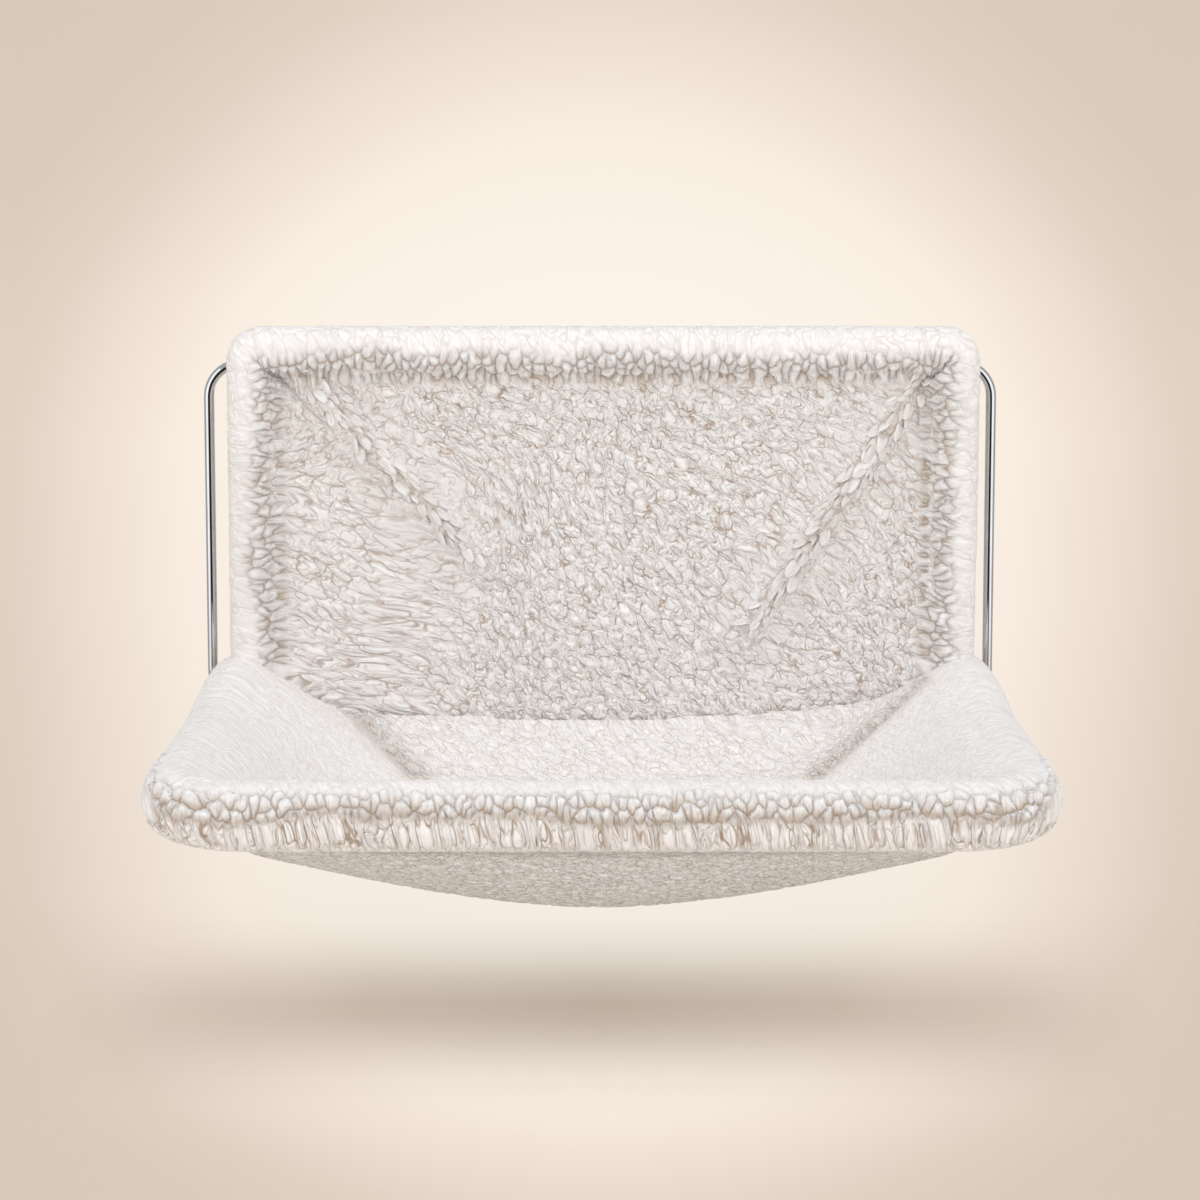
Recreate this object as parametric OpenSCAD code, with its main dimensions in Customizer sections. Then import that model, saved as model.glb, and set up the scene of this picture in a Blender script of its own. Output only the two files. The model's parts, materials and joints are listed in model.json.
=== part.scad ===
// Cat radiator bed: a chrome wire loop that hangs in front of a radiator on two
// adjustable hooks, a bolted wire seat frame, and a fleece cover with a stretched
// back panel and a sagging seat. Lengths are in millimetres.
// The origin lies on the radiator's top edge: x = 0 in the middle of the bed,
// y = 0 at the radiator's front face, z = 0 at its top. The cat side faces -Y.

/* [Chrome loop] */
// Outer width of the chrome loop
loop_w = 460; // [400:5:540]
// Outer height of the chrome loop
loop_h = 207.5; // [180:2.5:260]
// Diameter of the loop's wire
loop_wire = 6; // [5:0.5:8]
// Outer radius of the loop's corners
loop_corner = 22; // [16:1:34]

/* [Seat frame] */
// Diameter of the seat rail's wire
seat_wire = 8; // [7:0.5:10]
// Width of the seat rail at its back ends, between wire centres
seat_rear_w = 415; // [380:1:500]
// Width of the seat rail at the front, where the arms' lines meet the front bar's
seat_front_w = 471; // [440:1:540]
// Depth of the seat, from the loop's plane to the front bar's centre
seat_depth = 284; // [240:2:330]
// Height of the seat rail above the loop's bottom bar, between centres
seat_lift = 7; // [4:0.5:9]
// Bend radius of the seat rail's front corners, to the wire's centre
seat_corner = 38; // [28:1:48]

/* [Cover rail] */
// Diameter of the wire inside the back panel
cover_wire = 6; // [5:0.5:7]
// Height of the cover rail's top bar above the loop's top bar, between centres
cover_rise = 12.5; // [8:0.5:16]
// Bend radius of the cover rail's top corners, to the wire's centre
cover_corner = 13; // [9:0.5:24]

/* [Corner plates and seat bolts] */
// Thickness of the corner plates and of the rail's flat tabs
plate_t = 3; // [2.5:0.25:4]
// Height of a corner plate
plate_h = 24; // [20:1:26]
// Reach of a corner plate in front of the seat rail's back end
plate_reach = 44; // [40:1:60]
// Height of the flat tab at each end of the seat rail
tab_h = 15; // [12:0.5:18]
// Thread diameter of the seat bolts and of the hook studs
thread_d = 5; // [4:0.5:6]
// Distance between the two bolts on each side
bolt_pitch = 18; // [16:1:24]
// Width of the bolt nuts across their flats
nut_flats = 8; // [7:0.5:10]

/* [Fleece cover] */
// Outer diameter of the padded hem round the seat rail
seat_hem_d = 40; // [38:1:50]
// Outer diameter of the padded hem round the cover rail
panel_hem_d = 25; // [22:1:30]
// Bend radius of the panel hem's top corners, to the hem's centre
panel_hem_corner = 13; // [13:0.5:24]
// Thickness of the back panel between its hems
panel_t = 14; // [10:1:18]
// How far the seat sags below the hems
sag = 66; // [30:2:90]
// Thickness of the seat's fleece at its lowest point
sling_t = 10; // [6:1:16]
// Height of the pulled folds that run down from the panel's top corners
panel_fold_h = 6; // [0:0.5:8]
// Depth of the folds in the seat's back corners
seat_fold_h = 5; // [0:0.5:8]

/* [Hooks] */
// Distance between the two hooks, between centres
hook_span = 280; // [200:10:340]
// Width of the flat hook steel
hook_w = 20; // [16:1:26]
// Thickness of the flat hook steel
hook_t = 2.5; // [2:0.25:3.5]
// Radiator depth that the hooks are set to
reach = 70; // [60:1:90]
// How far the hooks can close from there
reach_in = 25; // [10:1:25]
// How far the hooks can open from there
reach_out = 30; // [10:1:40]
// How far the hooks' legs drop behind the radiator
leg_drop = 45; // [35:1:70]
// Length of the rubber cap on each leg
cap_l = 28; // [20:1:32]
// Wall of the rubber caps
cap_wall = 1.8; // [1.4:0.1:3]
// Span of a wing nut across its wings
wing_span = 26; // [22:1:28]
// Height of a wing nut
wing_h = 13; // [10:0.5:14]

/* [Bumpers] */
// Distance between the two bumpers, between centres
bumper_span = 300; // [200:10:360]
// Width of a bumper along the bar
bumper_w = 22; // [14:1:40]
// Thickness of the rubber between the loop and the radiator
bumper_pad = 3; // [2:0.5:6]

/* [Hidden] */
$fn = 48;

LEFT = -1;
RIGHT = 1;

// Clearances and overruns
weld_gap = 0.05;      // between two steel pieces that a weld joins
slide_gap = 0.1;      // between the hook's sliding faces
stud_play = 0.25;     // round a hook stud, in its slot
bolt_play = 0.1;      // round a seat bolt, in its holes
thread_play = 0.05;   // round a thread, in its nut
sleeve_gap = 0.2;     // between a rail and the fleece hem on it
fleece_gap = 0.3;     // between two pieces of the cover
bend_room = 0.6;      // more room for the front hem's bends
rubber_fit = 0.05;    // round steel, in a rubber part
over = 1;             // how far a cutter runs past what it cuts
angle_step = 0.001;   // to which the turn of a bend is rounded

// Chrome loop: it hangs in the plane y = loop_y
loop_y = -(bumper_pad + loop_wire / 2);
top_bar_z = hook_t + slide_gap + hook_t + weld_gap + loop_wire / 2;
bottom_bar_z = top_bar_z - (loop_h - loop_wire);
loop_bend = loop_corner - loop_wire / 2;
loop_half_w = (loop_w - loop_wire) / 2;

// Seat rail: its arms splay from the back ends to the front bar
rail_z = bottom_bar_z + seat_lift;
hem_r = seat_hem_d / 2;
arm_back = 17;        // from the loop's plane to the back end of the arms' hems
arm_y = loop_y - arm_back;
front_y = loop_y - seat_depth;
splay = atan2((seat_front_w - seat_rear_w) / 2, arm_y - front_y);
corner_trim = seat_corner * tan((90 + splay) / 2);
hem_lead = 8;         // how far the front hem runs on past its bends, up to the side hems
arm_l = norm([(seat_front_w - seat_rear_w) / 2, arm_y - front_y]) - corner_trim - hem_lead;

// Corner plates, in an arm's own frame: x across the arm, -y along it, z up
tab_back = 8;         // from the arm's back end to the tab's back end
plate_x = -plate_t / 2 - weld_gap - plate_t / 2;
leg_x = plate_x - plate_t / 2 - weld_gap - cover_wire / 2;
leg_back = 3;         // from the arm's back end to the cover rail's leg
plate_drop = seat_lift + loop_wire;
plate_round = 4;
bolt_back = 16;       // from the arm's back end to its first bolt
washer_t = 1;
bolt_head_t = 3;
bolt_head_r = 0.92 * thread_d;
bolt_tail = 1.5;      // how far a bolt stands out of its nut
nut_t = 4;
socket_flats = 3;
socket_depth = 1.8;
washer_r = thread_d;

// Cover rail: its legs stand on the corner plates, in one plane in front of the loop
leg_cos = leg_x * cos(splay) + leg_back * sin(splay);
cover_half_w = seat_rear_w / 2 + leg_cos;
cover_y = arm_y + leg_x * sin(splay) - leg_back * cos(splay);
cover_top_z = top_bar_z + cover_rise;
panel_hem_r = panel_hem_d / 2;
panel_hem_foot = rail_z + hem_r + 2 * sleeve_gap;

// Hooks
stud_r = thread_d / 2;
slot_r = stud_r + stud_play;
leg_y = reach + cap_wall + rubber_fit;
stud_back = 31;       // from a hook's gripping face to its stud
stud_y = reach - stud_back;
slot_from = stud_y - reach_in;
slot_to = stud_y + reach_out;
bracket_end = 5;      // steel beyond the end of a slot
slider_nose = 12;     // steel in front of a stud
hook_bend = 3;        // inner radius of the hook's bend
hook_round = 3;       // radius of the flat steel's corners
bracket_top = hook_t + slide_gap + hook_t;
washer_z = bracket_top + slide_gap;
wing_z = washer_z + washer_t + slide_gap;
stud_end = 1.6;       // how far a stud stands out of its wing nut's hub
wing_hub_r = 5;
wing_hub_h = 6.5;
wing_t = 2.2;
wing_tip_r = 3.4;
stud_chamfer = 0.6;
cap_round = 1.5;

// Bumpers
bumper_shell = 2.6;   // rubber round the bar
bumper_mouth = 1.5;   // half the width of the mouth that snaps on the bar
bumper_half_h = 6;

// Back panel
panel_inset = 8;      // how far the panel's blank runs in from the hem's centre line
panel_front_y = cover_y - 4.4;
panel_back_y = panel_front_y + panel_t;
panel_drop = 15;      // from the seat rail's centre down to the panel's bottom edge
panel_cols = 30;
panel_rows = 18;
valley_depth = 4;     // of the valley inside the hems
valley_w = 16;
fold_w = 13;          // half width of a pulled fold
plain_h = 34;         // height above the seat in which the folds have died out

// Seat sling: d is the distance in front of the loop's plane
sling_cols = 30;
sling_rows = 18;
sling_rear = loop_y - panel_front_y + fleece_gap;
sling_mid = 150;
hem_drop = 19;        // from the seat rail's centre to the sling's underside at the hems
seam_drop = 11.5;     // from the seat rail's centre to the seam at the panel
seam_rise = [7, 13];  // how far the seam climbs to its left and to its right end
crest_h = 20.5;       // height of the side crests above the seat rail's centre
crest_in = 13;        // from the arms' centre line in to the side crests
edge_in = 8;          // from the rail's centre line in to the edge of the sling's blank
soft = 4;             // how softly the seat's slopes run into each other
seat_fold_w = 11;     // half width of a corner fold
rear_slope = 0.56;
seam_span = 150;      // from the middle to where the seam has climbed so far
front_slope = 1.1;
side_slope_rear = 0.52;
side_slope_mid = 0.98;
across_share = 1.16;  // half width of the sag's curve, as a share of half the front width
across_power = 1.72;

// Hook-and-loop closure on the panel's back
closure_in = 32.5;    // from the arms' back ends in to the closure's ends
closure_w = seat_rear_w - 2 * closure_in;
closure_h = 18;
closure_t = 2;
closure_up = 4;       // from the panel's bottom edge

steel = "#b9bcc0";
chrome = "#d6d9dd";
rubber = "#34353a";
fleece = "#ece6e0";
tape = "#d8d2cb";

// Points and directions in a plane
function unit(v) = v / norm(v);
function turn_at(p, i) = let (a = unit(p[i] - p[i - 1]), b = unit(p[i + 1] - p[i]))
    round(atan2(a.x * b.y - a.y * b.x, a * b) / angle_step) * angle_step;
function trim_at(p, i, bend) =
    i == 0 || i == len(p) - 1 ? 0 : bend * tan(abs(turn_at(p, i)) / 2);
function clamp01(t) = min(1, max(0, t));
function ease(t) = let (s = clamp01(t)) s * s * (3 - 2 * s);
function blend(a, b, t) = a + (b - a) * t;
// A smooth maximum of several heights
function soft_max(h, w) = let (top = max(h), parts = [for (v = h) exp((v - top) / w)])
    top + w * ln(parts * [for (v = h) 1]);

// A round bar along an open path of points in the XY plane, with rounded corners.
// Each length is drawn in the frame where the one before it ended, so they meet exactly.
// A cutter's bends can be a little thicker than its lengths, which then reach into them.
module bar_path(p, bend, r, swell = 0) {
    way = p[1] - p[0];
    translate([p[0].x, p[0].y, 0]) rotate([0, 0, atan2(way.y, way.x)]) bar_from(p, bend, r, swell, 0);
}
module bar_from(p, bend, r, swell, i) {
    length = norm(p[i + 1] - p[i]) - trim_at(p, i, bend) - trim_at(p, i + 1, bend);
    before = i == 0 ? 0 : swell;
    after = i + 2 == len(p) ? 0 : swell;
    translate([-before, 0, 0]) rotate([0, 90, 0]) cylinder(r = r, h = before + length + after);
    if (i + 2 < len(p)) {
        turn = turn_at(p, i + 1);
        side = sign(turn);
        translate([length, side * bend, 0]) {
            rotate([0, 0, side > 0 ? -90 : 90 + turn]) rotate_extrude(angle = abs(turn)) intersection() {
                translate([bend, 0]) circle(r = r + swell);
                translate([0, -r - over]) square([bend + r + over, 2 * (r + over)]);
            }
            rotate([0, 0, turn]) translate([0, -side * bend, 0]) bar_from(p, bend, r, swell, i + 1);
        }
    }
}

// The same path with both ends drawn out by a length
function drawn_out(p, more) = let (last = len(p) - 1) [
    for (i = [0 : last])
        i == 0 ? p[0] - unit(p[1] - p[0]) * more
        : i == last ? p[last] + unit(p[last] - p[last - 1]) * more
        : p[i]
];

// What stands in the XZ plane, at a given y
module upright(y) translate([0, y, 0]) rotate([90, 0, 0]) children();

// What is drawn in an arm's own frame, on one side
module on_arm(side) mirror([side == LEFT ? 1 : 0, 0, 0])
    translate([seat_rear_w / 2, arm_y, rail_z]) rotate([0, 0, splay]) children();

// A profile in the YZ plane, drawn out along x about x = 0
module across(w) translate([-w / 2, 0, 0]) rotate([90, 0, 90]) linear_extrude(w) children();

module round_rect(w, l, r) {
    square([w - 2 * r, l], center = true);
    square([w, l - 2 * r], center = true);
    for (x = [-1, 1], y = [-1, 1]) translate([x * (w / 2 - r), y * (l / 2 - r)]) circle(r = r);
}

// Paths of the three wires
function seat_path() = let (
    rear = [seat_rear_w / 2, arm_y], front = [seat_front_w / 2, front_y],
    way = unit(front - rear), wire_from = rear + way * plate_reach
) [[-wire_from.x, wire_from.y], [-front.x, front.y], front, wire_from];
function hem_path() = [
    [-seat_rear_w / 2, arm_y], [-seat_front_w / 2, front_y],
    [seat_front_w / 2, front_y], [seat_rear_w / 2, arm_y]
];
function cover_path(foot) = [
    [-cover_half_w, foot], [-cover_half_w, cover_top_z],
    [cover_half_w, cover_top_z], [cover_half_w, foot]
];

module back_loop() color(chrome) upright(loop_y) {
    half_h = (loop_h - loop_wire) / 2;
    translate([0, top_bar_z - half_h]) for (turn = [0, 180]) rotate(turn)
        bar_path([[0, -half_h], [loop_half_w, -half_h], [loop_half_w, half_h], [0, half_h]],
                 loop_bend, loop_wire / 2);
}

module cover_rail() color(steel) upright(cover_y)
    bar_path(cover_path(rail_z - plate_drop), cover_corner, cover_wire / 2);

module seat_rail() color(steel) difference() {
    union() {
        translate([0, 0, rail_z]) bar_path(seat_path(), seat_corner, seat_wire / 2);
        for (side = [LEFT, RIGHT]) on_arm(side)
            translate([-plate_t / 2, -plate_reach - seat_wire, -tab_h / 2])
                cube([plate_t, plate_reach + seat_wire - tab_back, tab_h]);
    }
    for (side = [LEFT, RIGHT]) on_arm(side) bolt_holes();
}

// The holes for the two bolts of one side
module bolt_holes() at_bolts() translate([-plate_t * 3, 0, 0]) rotate([0, 90, 0])
    cylinder(r = thread_d / 2 + bolt_play, h = plate_t * 6);
module at_bolts() for (i = [0, 1]) translate([0, -bolt_back - i * bolt_pitch, 0]) children();

// A flat steel plate that is welded to the loop's bottom bar and to a leg of the
// cover rail, and takes the seat rail's tab
module corner_plate(side) color(steel) difference() {
    plate_rear = (arm_back - plate_x * sin(splay)) / cos(splay);
    plate_l = plate_rear + plate_reach;
    on_arm(side) translate([plate_x - plate_t / 2, plate_rear - plate_l / 2, plate_h / 2 - plate_drop])
        rotate([90, 0, 90]) linear_extrude(plate_t) round_rect(plate_l, plate_h, plate_round);
    on_arm(side) bolt_holes();
    translate([-loop_half_w, loop_y, bottom_bar_z]) rotate([0, 90, 0])
        cylinder(r = loop_wire / 2 + weld_gap, h = 2 * loop_half_w);
}

module seat_bolts() color(steel) for (side = [LEFT, RIGHT]) on_arm(side) at_bolts() {
    under_head = plate_t / 2 + washer_t;
    tail = plate_t + plate_t / 2 + weld_gap + nut_t + bolt_tail;
    difference() {
        union() {
            translate([under_head, 0, 0]) rotate([0, 90, 0]) cylinder(r = bolt_head_r, h = bolt_head_t);
            translate([-tail, 0, 0]) rotate([0, 90, 0]) cylinder(r = thread_d / 2, h = tail + under_head);
        }
        translate([under_head + bolt_head_t - socket_depth, 0, 0]) rotate([0, 90, 0])
            cylinder(r = socket_flats / sqrt(3), h = socket_depth + over, $fn = 6);
    }
}

module seat_washers() color(steel) for (side = [LEFT, RIGHT]) on_arm(side) at_bolts()
    translate([plate_t / 2, 0, 0]) rotate([0, 90, 0])
        ring(washer_r, thread_d / 2 + bolt_play, washer_t);

module seat_nuts() color(steel) for (side = [LEFT, RIGHT]) on_arm(side) at_bolts()
    translate([plate_x - plate_t / 2 - nut_t, 0, 0]) rotate([0, 90, 0]) difference() {
        cylinder(r = nut_flats / sqrt(3), h = nut_t, $fn = 6);
        translate([0, 0, -over]) cylinder(r = thread_d / 2 + thread_play, h = nut_t + 2 * over);
    }

module ring(outer, inner, h) difference() {
    cylinder(r = outer, h = h);
    translate([0, 0, -over]) cylinder(r = inner, h = h + 2 * over);
}

// Hooks. A fixed strap is rolled round the loop's top bar and runs back over the
// radiator; the slider below it lies on the radiator and drops behind it.
module at_hook(side) translate([side * hook_span / 2, 0, 0]) children();

module hook_bracket(side) color(steel) at_hook(side) difference() {
    eye_r = loop_wire / 2 + weld_gap;
    bracket_l = slot_to + slot_r + bracket_end;
    intersection() {
        across(hook_w) {
            translate([loop_y, bracket_top - hook_t]) square([bracket_l - loop_y, hook_t]);
            translate([loop_y, top_bar_z]) difference() {
                circle(r = eye_r + hook_t);
                circle(r = eye_r);
                translate([0, -eye_r - hook_t - over]) square(2 * (eye_r + hook_t + over));
            }
        }
        translate([0, bracket_l / 2, 0]) linear_extrude(4 * top_bar_z, center = true)
            union() {
                round_rect(hook_w, bracket_l, hook_round);
                translate([-hook_w / 2, -bracket_l]) square([hook_w, bracket_l]);
            }
    }
    translate([0, 0, -over]) linear_extrude(bracket_top + 2 * over) {
        translate([-slot_r, slot_from]) square([2 * slot_r, slot_to - slot_from]);
        for (y = [slot_from, slot_to]) translate([0, y]) circle(r = slot_r);
    }
}

module hook_slider(side) color(steel) at_hook(side) {
    nose = stud_y - slider_nose;
    bend_y = leg_y - hook_bend;
    bend_z = -hook_bend;
    across(hook_w) {
        translate([nose, 0]) square([bend_y - nose, hook_t]);
        translate([leg_y, -leg_drop]) square([hook_t, leg_drop + bend_z]);
        translate([bend_y, bend_z]) intersection() {
            difference() {
                circle(r = hook_bend + hook_t);
                circle(r = hook_bend);
            }
            square(hook_bend + hook_t + over);
        }
    }
}

module hook_stud(side) color(steel) at_hook(side) translate([0, stud_y, hook_t]) {
    stud_h = wing_z + wing_hub_h + stud_end - hook_t;
    cylinder(r = stud_r, h = stud_h - stud_chamfer);
    translate([0, 0, stud_h - stud_chamfer])
        cylinder(r1 = stud_r, r2 = stud_r - stud_chamfer, h = stud_chamfer);
}

module hook_washer(side) color(steel) at_hook(side) translate([0, stud_y, washer_z])
    ring(washer_r, stud_r + bolt_play, washer_t);

module wing_nut(side) color(steel) at_hook(side) translate([0, stud_y, wing_z]) difference() {
    hub_top_r = wing_hub_r - wing_t / 2;
    tip = [wing_span / 2 - wing_tip_r, wing_h - wing_tip_r];
    root_h = wing_hub_h / 3;
    union() {
        cylinder(r1 = wing_hub_r, r2 = hub_top_r, h = wing_hub_h);
        for (turn = [0, 180]) rotate([90, 0, turn]) linear_extrude(wing_t, center = true) {
            translate(tip) circle(r = wing_tip_r);
            polygon([
                [stud_r + wing_t / 2, 0], [wing_hub_r, 0],
                [tip.x + wing_tip_r * sin(45), tip.y - wing_tip_r * cos(45)],
                tip, [tip.x - wing_tip_r * cos(30), tip.y + wing_tip_r * sin(30)],
                [hub_top_r, wing_hub_h], [stud_r + wing_t / 2, root_h]
            ]);
        }
    }
    translate([0, 0, -over]) cylinder(r = stud_r + thread_play, h = wing_h + 2 * over);
}

module leg_cap(side) color(rubber) at_hook(side) difference() {
    cap_w = hook_w + 2 * (cap_wall + rubber_fit);
    cap_depth = hook_t + 2 * (cap_wall + rubber_fit);
    foot = -leg_drop - cap_wall - rubber_fit;
    translate([0, reach + cap_depth / 2, foot]) linear_extrude(cap_l)
        round_rect(cap_w, cap_depth, cap_round);
    translate([-hook_w / 2 - rubber_fit, leg_y - rubber_fit, -leg_drop - rubber_fit])
        cube([hook_w + 2 * rubber_fit, hook_t + 2 * rubber_fit, leg_drop]);
}

// A rubber clip that snaps on the loop's bottom bar and rests on the radiator's front
module bumper(side) color(rubber) translate([side * bumper_span / 2, loop_y, bottom_bar_z])
    across(bumper_w) difference() {
        union() {
            circle(r = loop_wire / 2 + bumper_shell);
            translate([0, -bumper_half_h]) square([-loop_y, 2 * bumper_half_h]);
        }
        circle(r = loop_wire / 2 + rubber_fit);
        translate([-loop_w, -bumper_mouth]) square([loop_w, 2 * bumper_mouth]);
    }

// The padded hems: fleece tubes round the rails
module panel_hem() color(fleece) upright(cover_y) difference() {
    bar_path(cover_path(panel_hem_foot), panel_hem_corner, panel_hem_r);
    bar_path(cover_path(panel_hem_foot - over), cover_corner, cover_wire / 2 + sleeve_gap);
}

module front_hem() color(fleece) translate([0, 0, rail_z]) difference() {
    bar_path(front_hem_path(0), seat_corner, hem_r);
    bar_path(front_hem_path(over), seat_corner, seat_wire / 2 + sleeve_gap);
}
function front_hem_path(more) = let (
    p = hem_path(), way = unit(p[1] - p[0]), from = p[0] + way * arm_l
) drawn_out([from, p[1], p[2], [-from.x, from.y]], more);

module side_hem(side) color(fleece) on_arm(side) difference() {
    pocket_play = 1;
    head_x = plate_t / 2 + washer_t + bolt_head_t + pocket_play;
    leg_edge = leg_x - cover_wire / 2 - pocket_play;
    pocket_top = plate_h - plate_drop + pocket_play;
    rotate([90, 0, 0]) cylinder(r = hem_r, h = arm_l);
    translate([0, over, 0]) rotate([90, 0, 0])
        cylinder(r = seat_wire / 2 + sleeve_gap, h = arm_l + 2 * over);
    translate([leg_edge, -plate_reach - seat_wire, -plate_drop - pocket_play])
        cube([head_x - leg_edge, plate_reach + seat_wire + over, pocket_top + plate_drop + pocket_play]);
    translate([leg_x, -leg_back, 0]) cylinder(r = cover_wire / 2 + sleeve_gap, h = hem_r + over);
}

// A closed solid between two grids of points, with the same rows and columns.
// Seen from the first grid's side, its rows run up and its columns to the right.
module slab(near, far) {
    rows = len(near);
    cols = len(near[0]);
    count = rows * cols;
    points = concat([for (row = near) each row], [for (row = far) each row]);
    function at(r, c, side) = side * count + r * cols + c;
    rim = concat(
        [for (c = [0 : cols - 2]) [0, c]], [for (r = [0 : rows - 2]) [r, cols - 1]],
        [for (c = [cols - 1 : -1 : 1]) [rows - 1, c]], [for (r = [rows - 1 : -1 : 1]) [r, 0]]
    );
    faces = concat(
        [for (r = [0 : rows - 2], c = [0 : cols - 2], half = [0, 1])
            half == 0 ? [at(r, c, 0), at(r + 1, c, 0), at(r + 1, c + 1, 0)]
                      : [at(r, c, 0), at(r + 1, c + 1, 0), at(r, c + 1, 0)]],
        [for (r = [0 : rows - 2], c = [0 : cols - 2], half = [0, 1])
            half == 0 ? [at(r, c, 1), at(r + 1, c + 1, 1), at(r + 1, c, 1)]
                      : [at(r, c, 1), at(r, c + 1, 1), at(r + 1, c + 1, 1)]],
        [for (i = [0 : len(rim) - 1], half = [0, 1]) let (a = rim[i], b = rim[(i + 1) % len(rim)])
            half == 0 ? [at(a[0], a[1], 0), at(b[0], b[1], 0), at(b[0], b[1], 1)]
                      : [at(a[0], a[1], 0), at(b[0], b[1], 1), at(a[0], a[1], 1)]]
    );
    polyhedron(points = points, faces = faces, convexity = 6);
}

// Distance from a point to the line through two points, and how far along it lies
function line_off(p, a, b) = let (way = unit(b - a), q = p - a) abs(way.x * q.y - way.y * q.x);
function line_along(p, a, b) = (p - a) * unit(b - a) / norm(b - a);
function bump(t) = exp(-t * t);

// Back panel. A pulled fold runs down from each top corner and dies out.
panel_foot = rail_z - panel_drop;
panel_half_w = cover_half_w - panel_inset;
panel_top = cover_top_z - panel_inset;
fold_from = [0.88, 0.93];     // share of the half width and of the height where a fold starts
left_fold_to = [0.33, 0.42];  // and where it has died out
right_fold_to = [0.40, 0.22];
function panel_spot(share, side) =
    [side * share[0] * panel_half_w, blend(panel_foot, panel_top, share[1])];
function panel_fold(p, from, to) =
    bump(line_off(p, from, to) / fold_w) * ease(line_along(p, from, to) * 6 + 0.5)
    * ease((1 - line_along(p, from, to)) * 2);
function panel_relief(p) =
    panel_fold_h * (panel_fold(p, panel_spot(fold_from, LEFT), panel_spot(left_fold_to, LEFT))
                    + panel_fold(p, panel_spot(fold_from, RIGHT), panel_spot(right_fold_to, RIGHT)));
function panel_valley(p) = let (
    side = (panel_half_w - abs(p.x)) / valley_w, top = (panel_top - p.y) / valley_w
) valley_depth * max(bump(side - 1), bump(top - 1));
function panel_front(p) = let (up = ease((p.y - rail_z) / plain_h - 0.2))
    panel_front_y + (panel_valley(p) - panel_relief(p)) * up;

module back_panel() color(fleece) difference() {
    grid = [for (r = [0 : panel_rows]) [for (c = [0 : panel_cols])
        [blend(-panel_half_w, panel_half_w, c / panel_cols), blend(panel_foot, panel_top, r / panel_rows)]]];
    slab([for (row = grid) [for (p = row) [p.x, panel_front(p), p.y]]],
         [for (row = grid) [for (p = row) [p.x, panel_back_y, p.y]]]);
    upright(cover_y)
        bar_path(cover_path(panel_hem_foot - fleece_gap), panel_hem_corner, panel_hem_r + fleece_gap);
    for (side = [LEFT, RIGHT]) on_arm(side) translate([0, fleece_gap, 0]) rotate([90, 0, 0])
        cylinder(r = hem_r + fleece_gap, h = panel_hem_d);
}

module panel_closure() color(tape)
    translate([-closure_w / 2, panel_back_y + fleece_gap / 3, panel_foot + closure_up])
        cube([closure_w, closure_t, closure_h]);

// Seat sling, as heights over the seat rail's centre at x and at d in front of the loop
function arm_x(d) =
    blend(seat_rear_w, seat_front_w, (d - arm_back) / (seat_depth - arm_back)) / 2;
function sag_shape(x, d) =
    (1 - pow(abs(x) / (across_share * seat_front_w / 2), across_power))
    * (1 - pow((d - sling_mid) / (seat_depth - edge_in - sling_mid), 2));
function sling_low(x, d) = -hem_drop - sag * max(0, sag_shape(x, d));
function side_slope(d) =
    blend(side_slope_rear, side_slope_mid, ease((d - sling_rear) / (sling_mid - sling_rear)));
function side_wall(x, d) = let (crest = arm_x(d) - crest_in, in = crest - abs(x))
    crest_h - (in > 0 ? side_slope(d) * in : -0.9 * in);
function rear_wall(x, d) =
    seam_rise[x < 0 ? 0 : 1] * pow(x / seam_span, 2) - seam_drop - rear_slope * (d - sling_rear);
function front_wall(d) = hem_drop / 2 - front_slope * (seat_depth - crest_in - d);
function corner_fold(x, d) = let (
    from = [arm_x(0) - 2 * crest_in, sling_rear], to = [arm_x(0) / 3, sling_mid / 2]
) bump(line_off([abs(x), d], from, to) / seat_fold_w) * ease(3 - 2.5 * line_along([abs(x), d], from, to))
    * ease(line_along([abs(x), d], from, to) * 8);
function sling_top(x, d) =
    soft_max([sling_low(x, d) + sling_t, side_wall(x, d), rear_wall(x, d), front_wall(d)], soft)
    - seat_fold_h * corner_fold(x, d);
function sling_under(x, d) = let (
    edge = ease((abs(x) / (arm_x(d) - edge_in) - 0.86) / 0.14),
    low = blend(sling_low(x, d), -hem_drop * 0.7, edge)
) min(low, sling_top(x, d) - sling_t / 2);

module seat_sling() color(fleece) difference() {
    grid = [for (r = [0 : sling_rows]) [for (c = [0 : sling_cols])
        let (d = blend(sling_rear, seat_depth - edge_in, r / sling_rows))
            [blend(-1, 1, c / sling_cols) * (arm_x(d) - edge_in), d]]];
    slab([for (row = grid) [for (p = row) [p.x, loop_y - p.y, rail_z + sling_under(p.x, p.y)]]],
         [for (row = grid) [for (p = row) [p.x, loop_y - p.y, rail_z + sling_top(p.x, p.y)]]]);
    translate([0, 0, rail_z])
        bar_path(drawn_out(hem_path(), fleece_gap), seat_corner, hem_r + fleece_gap, bend_room);
}

back_loop();
cover_rail();
seat_rail();
corner_plate(LEFT);  // corner_plate_left
corner_plate(RIGHT);  // corner_plate_right
seat_bolts();
seat_washers();
seat_nuts();
hook_bracket(LEFT);  // hook_bracket_left
hook_bracket(RIGHT);  // hook_bracket_right
hook_slider(LEFT);  // hook_slider_left
hook_slider(RIGHT);  // hook_slider_right
hook_stud(LEFT);  // hook_stud_left
hook_stud(RIGHT);  // hook_stud_right
hook_washer(LEFT);  // hook_washer_left
hook_washer(RIGHT);  // hook_washer_right
wing_nut(LEFT);  // wing_nut_left
wing_nut(RIGHT);  // wing_nut_right
leg_cap(LEFT);  // leg_cap_left
leg_cap(RIGHT);  // leg_cap_right
bumper(LEFT);  // bumper_left
bumper(RIGHT);  // bumper_right
panel_hem();
back_panel();
panel_closure();
front_hem();
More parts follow.
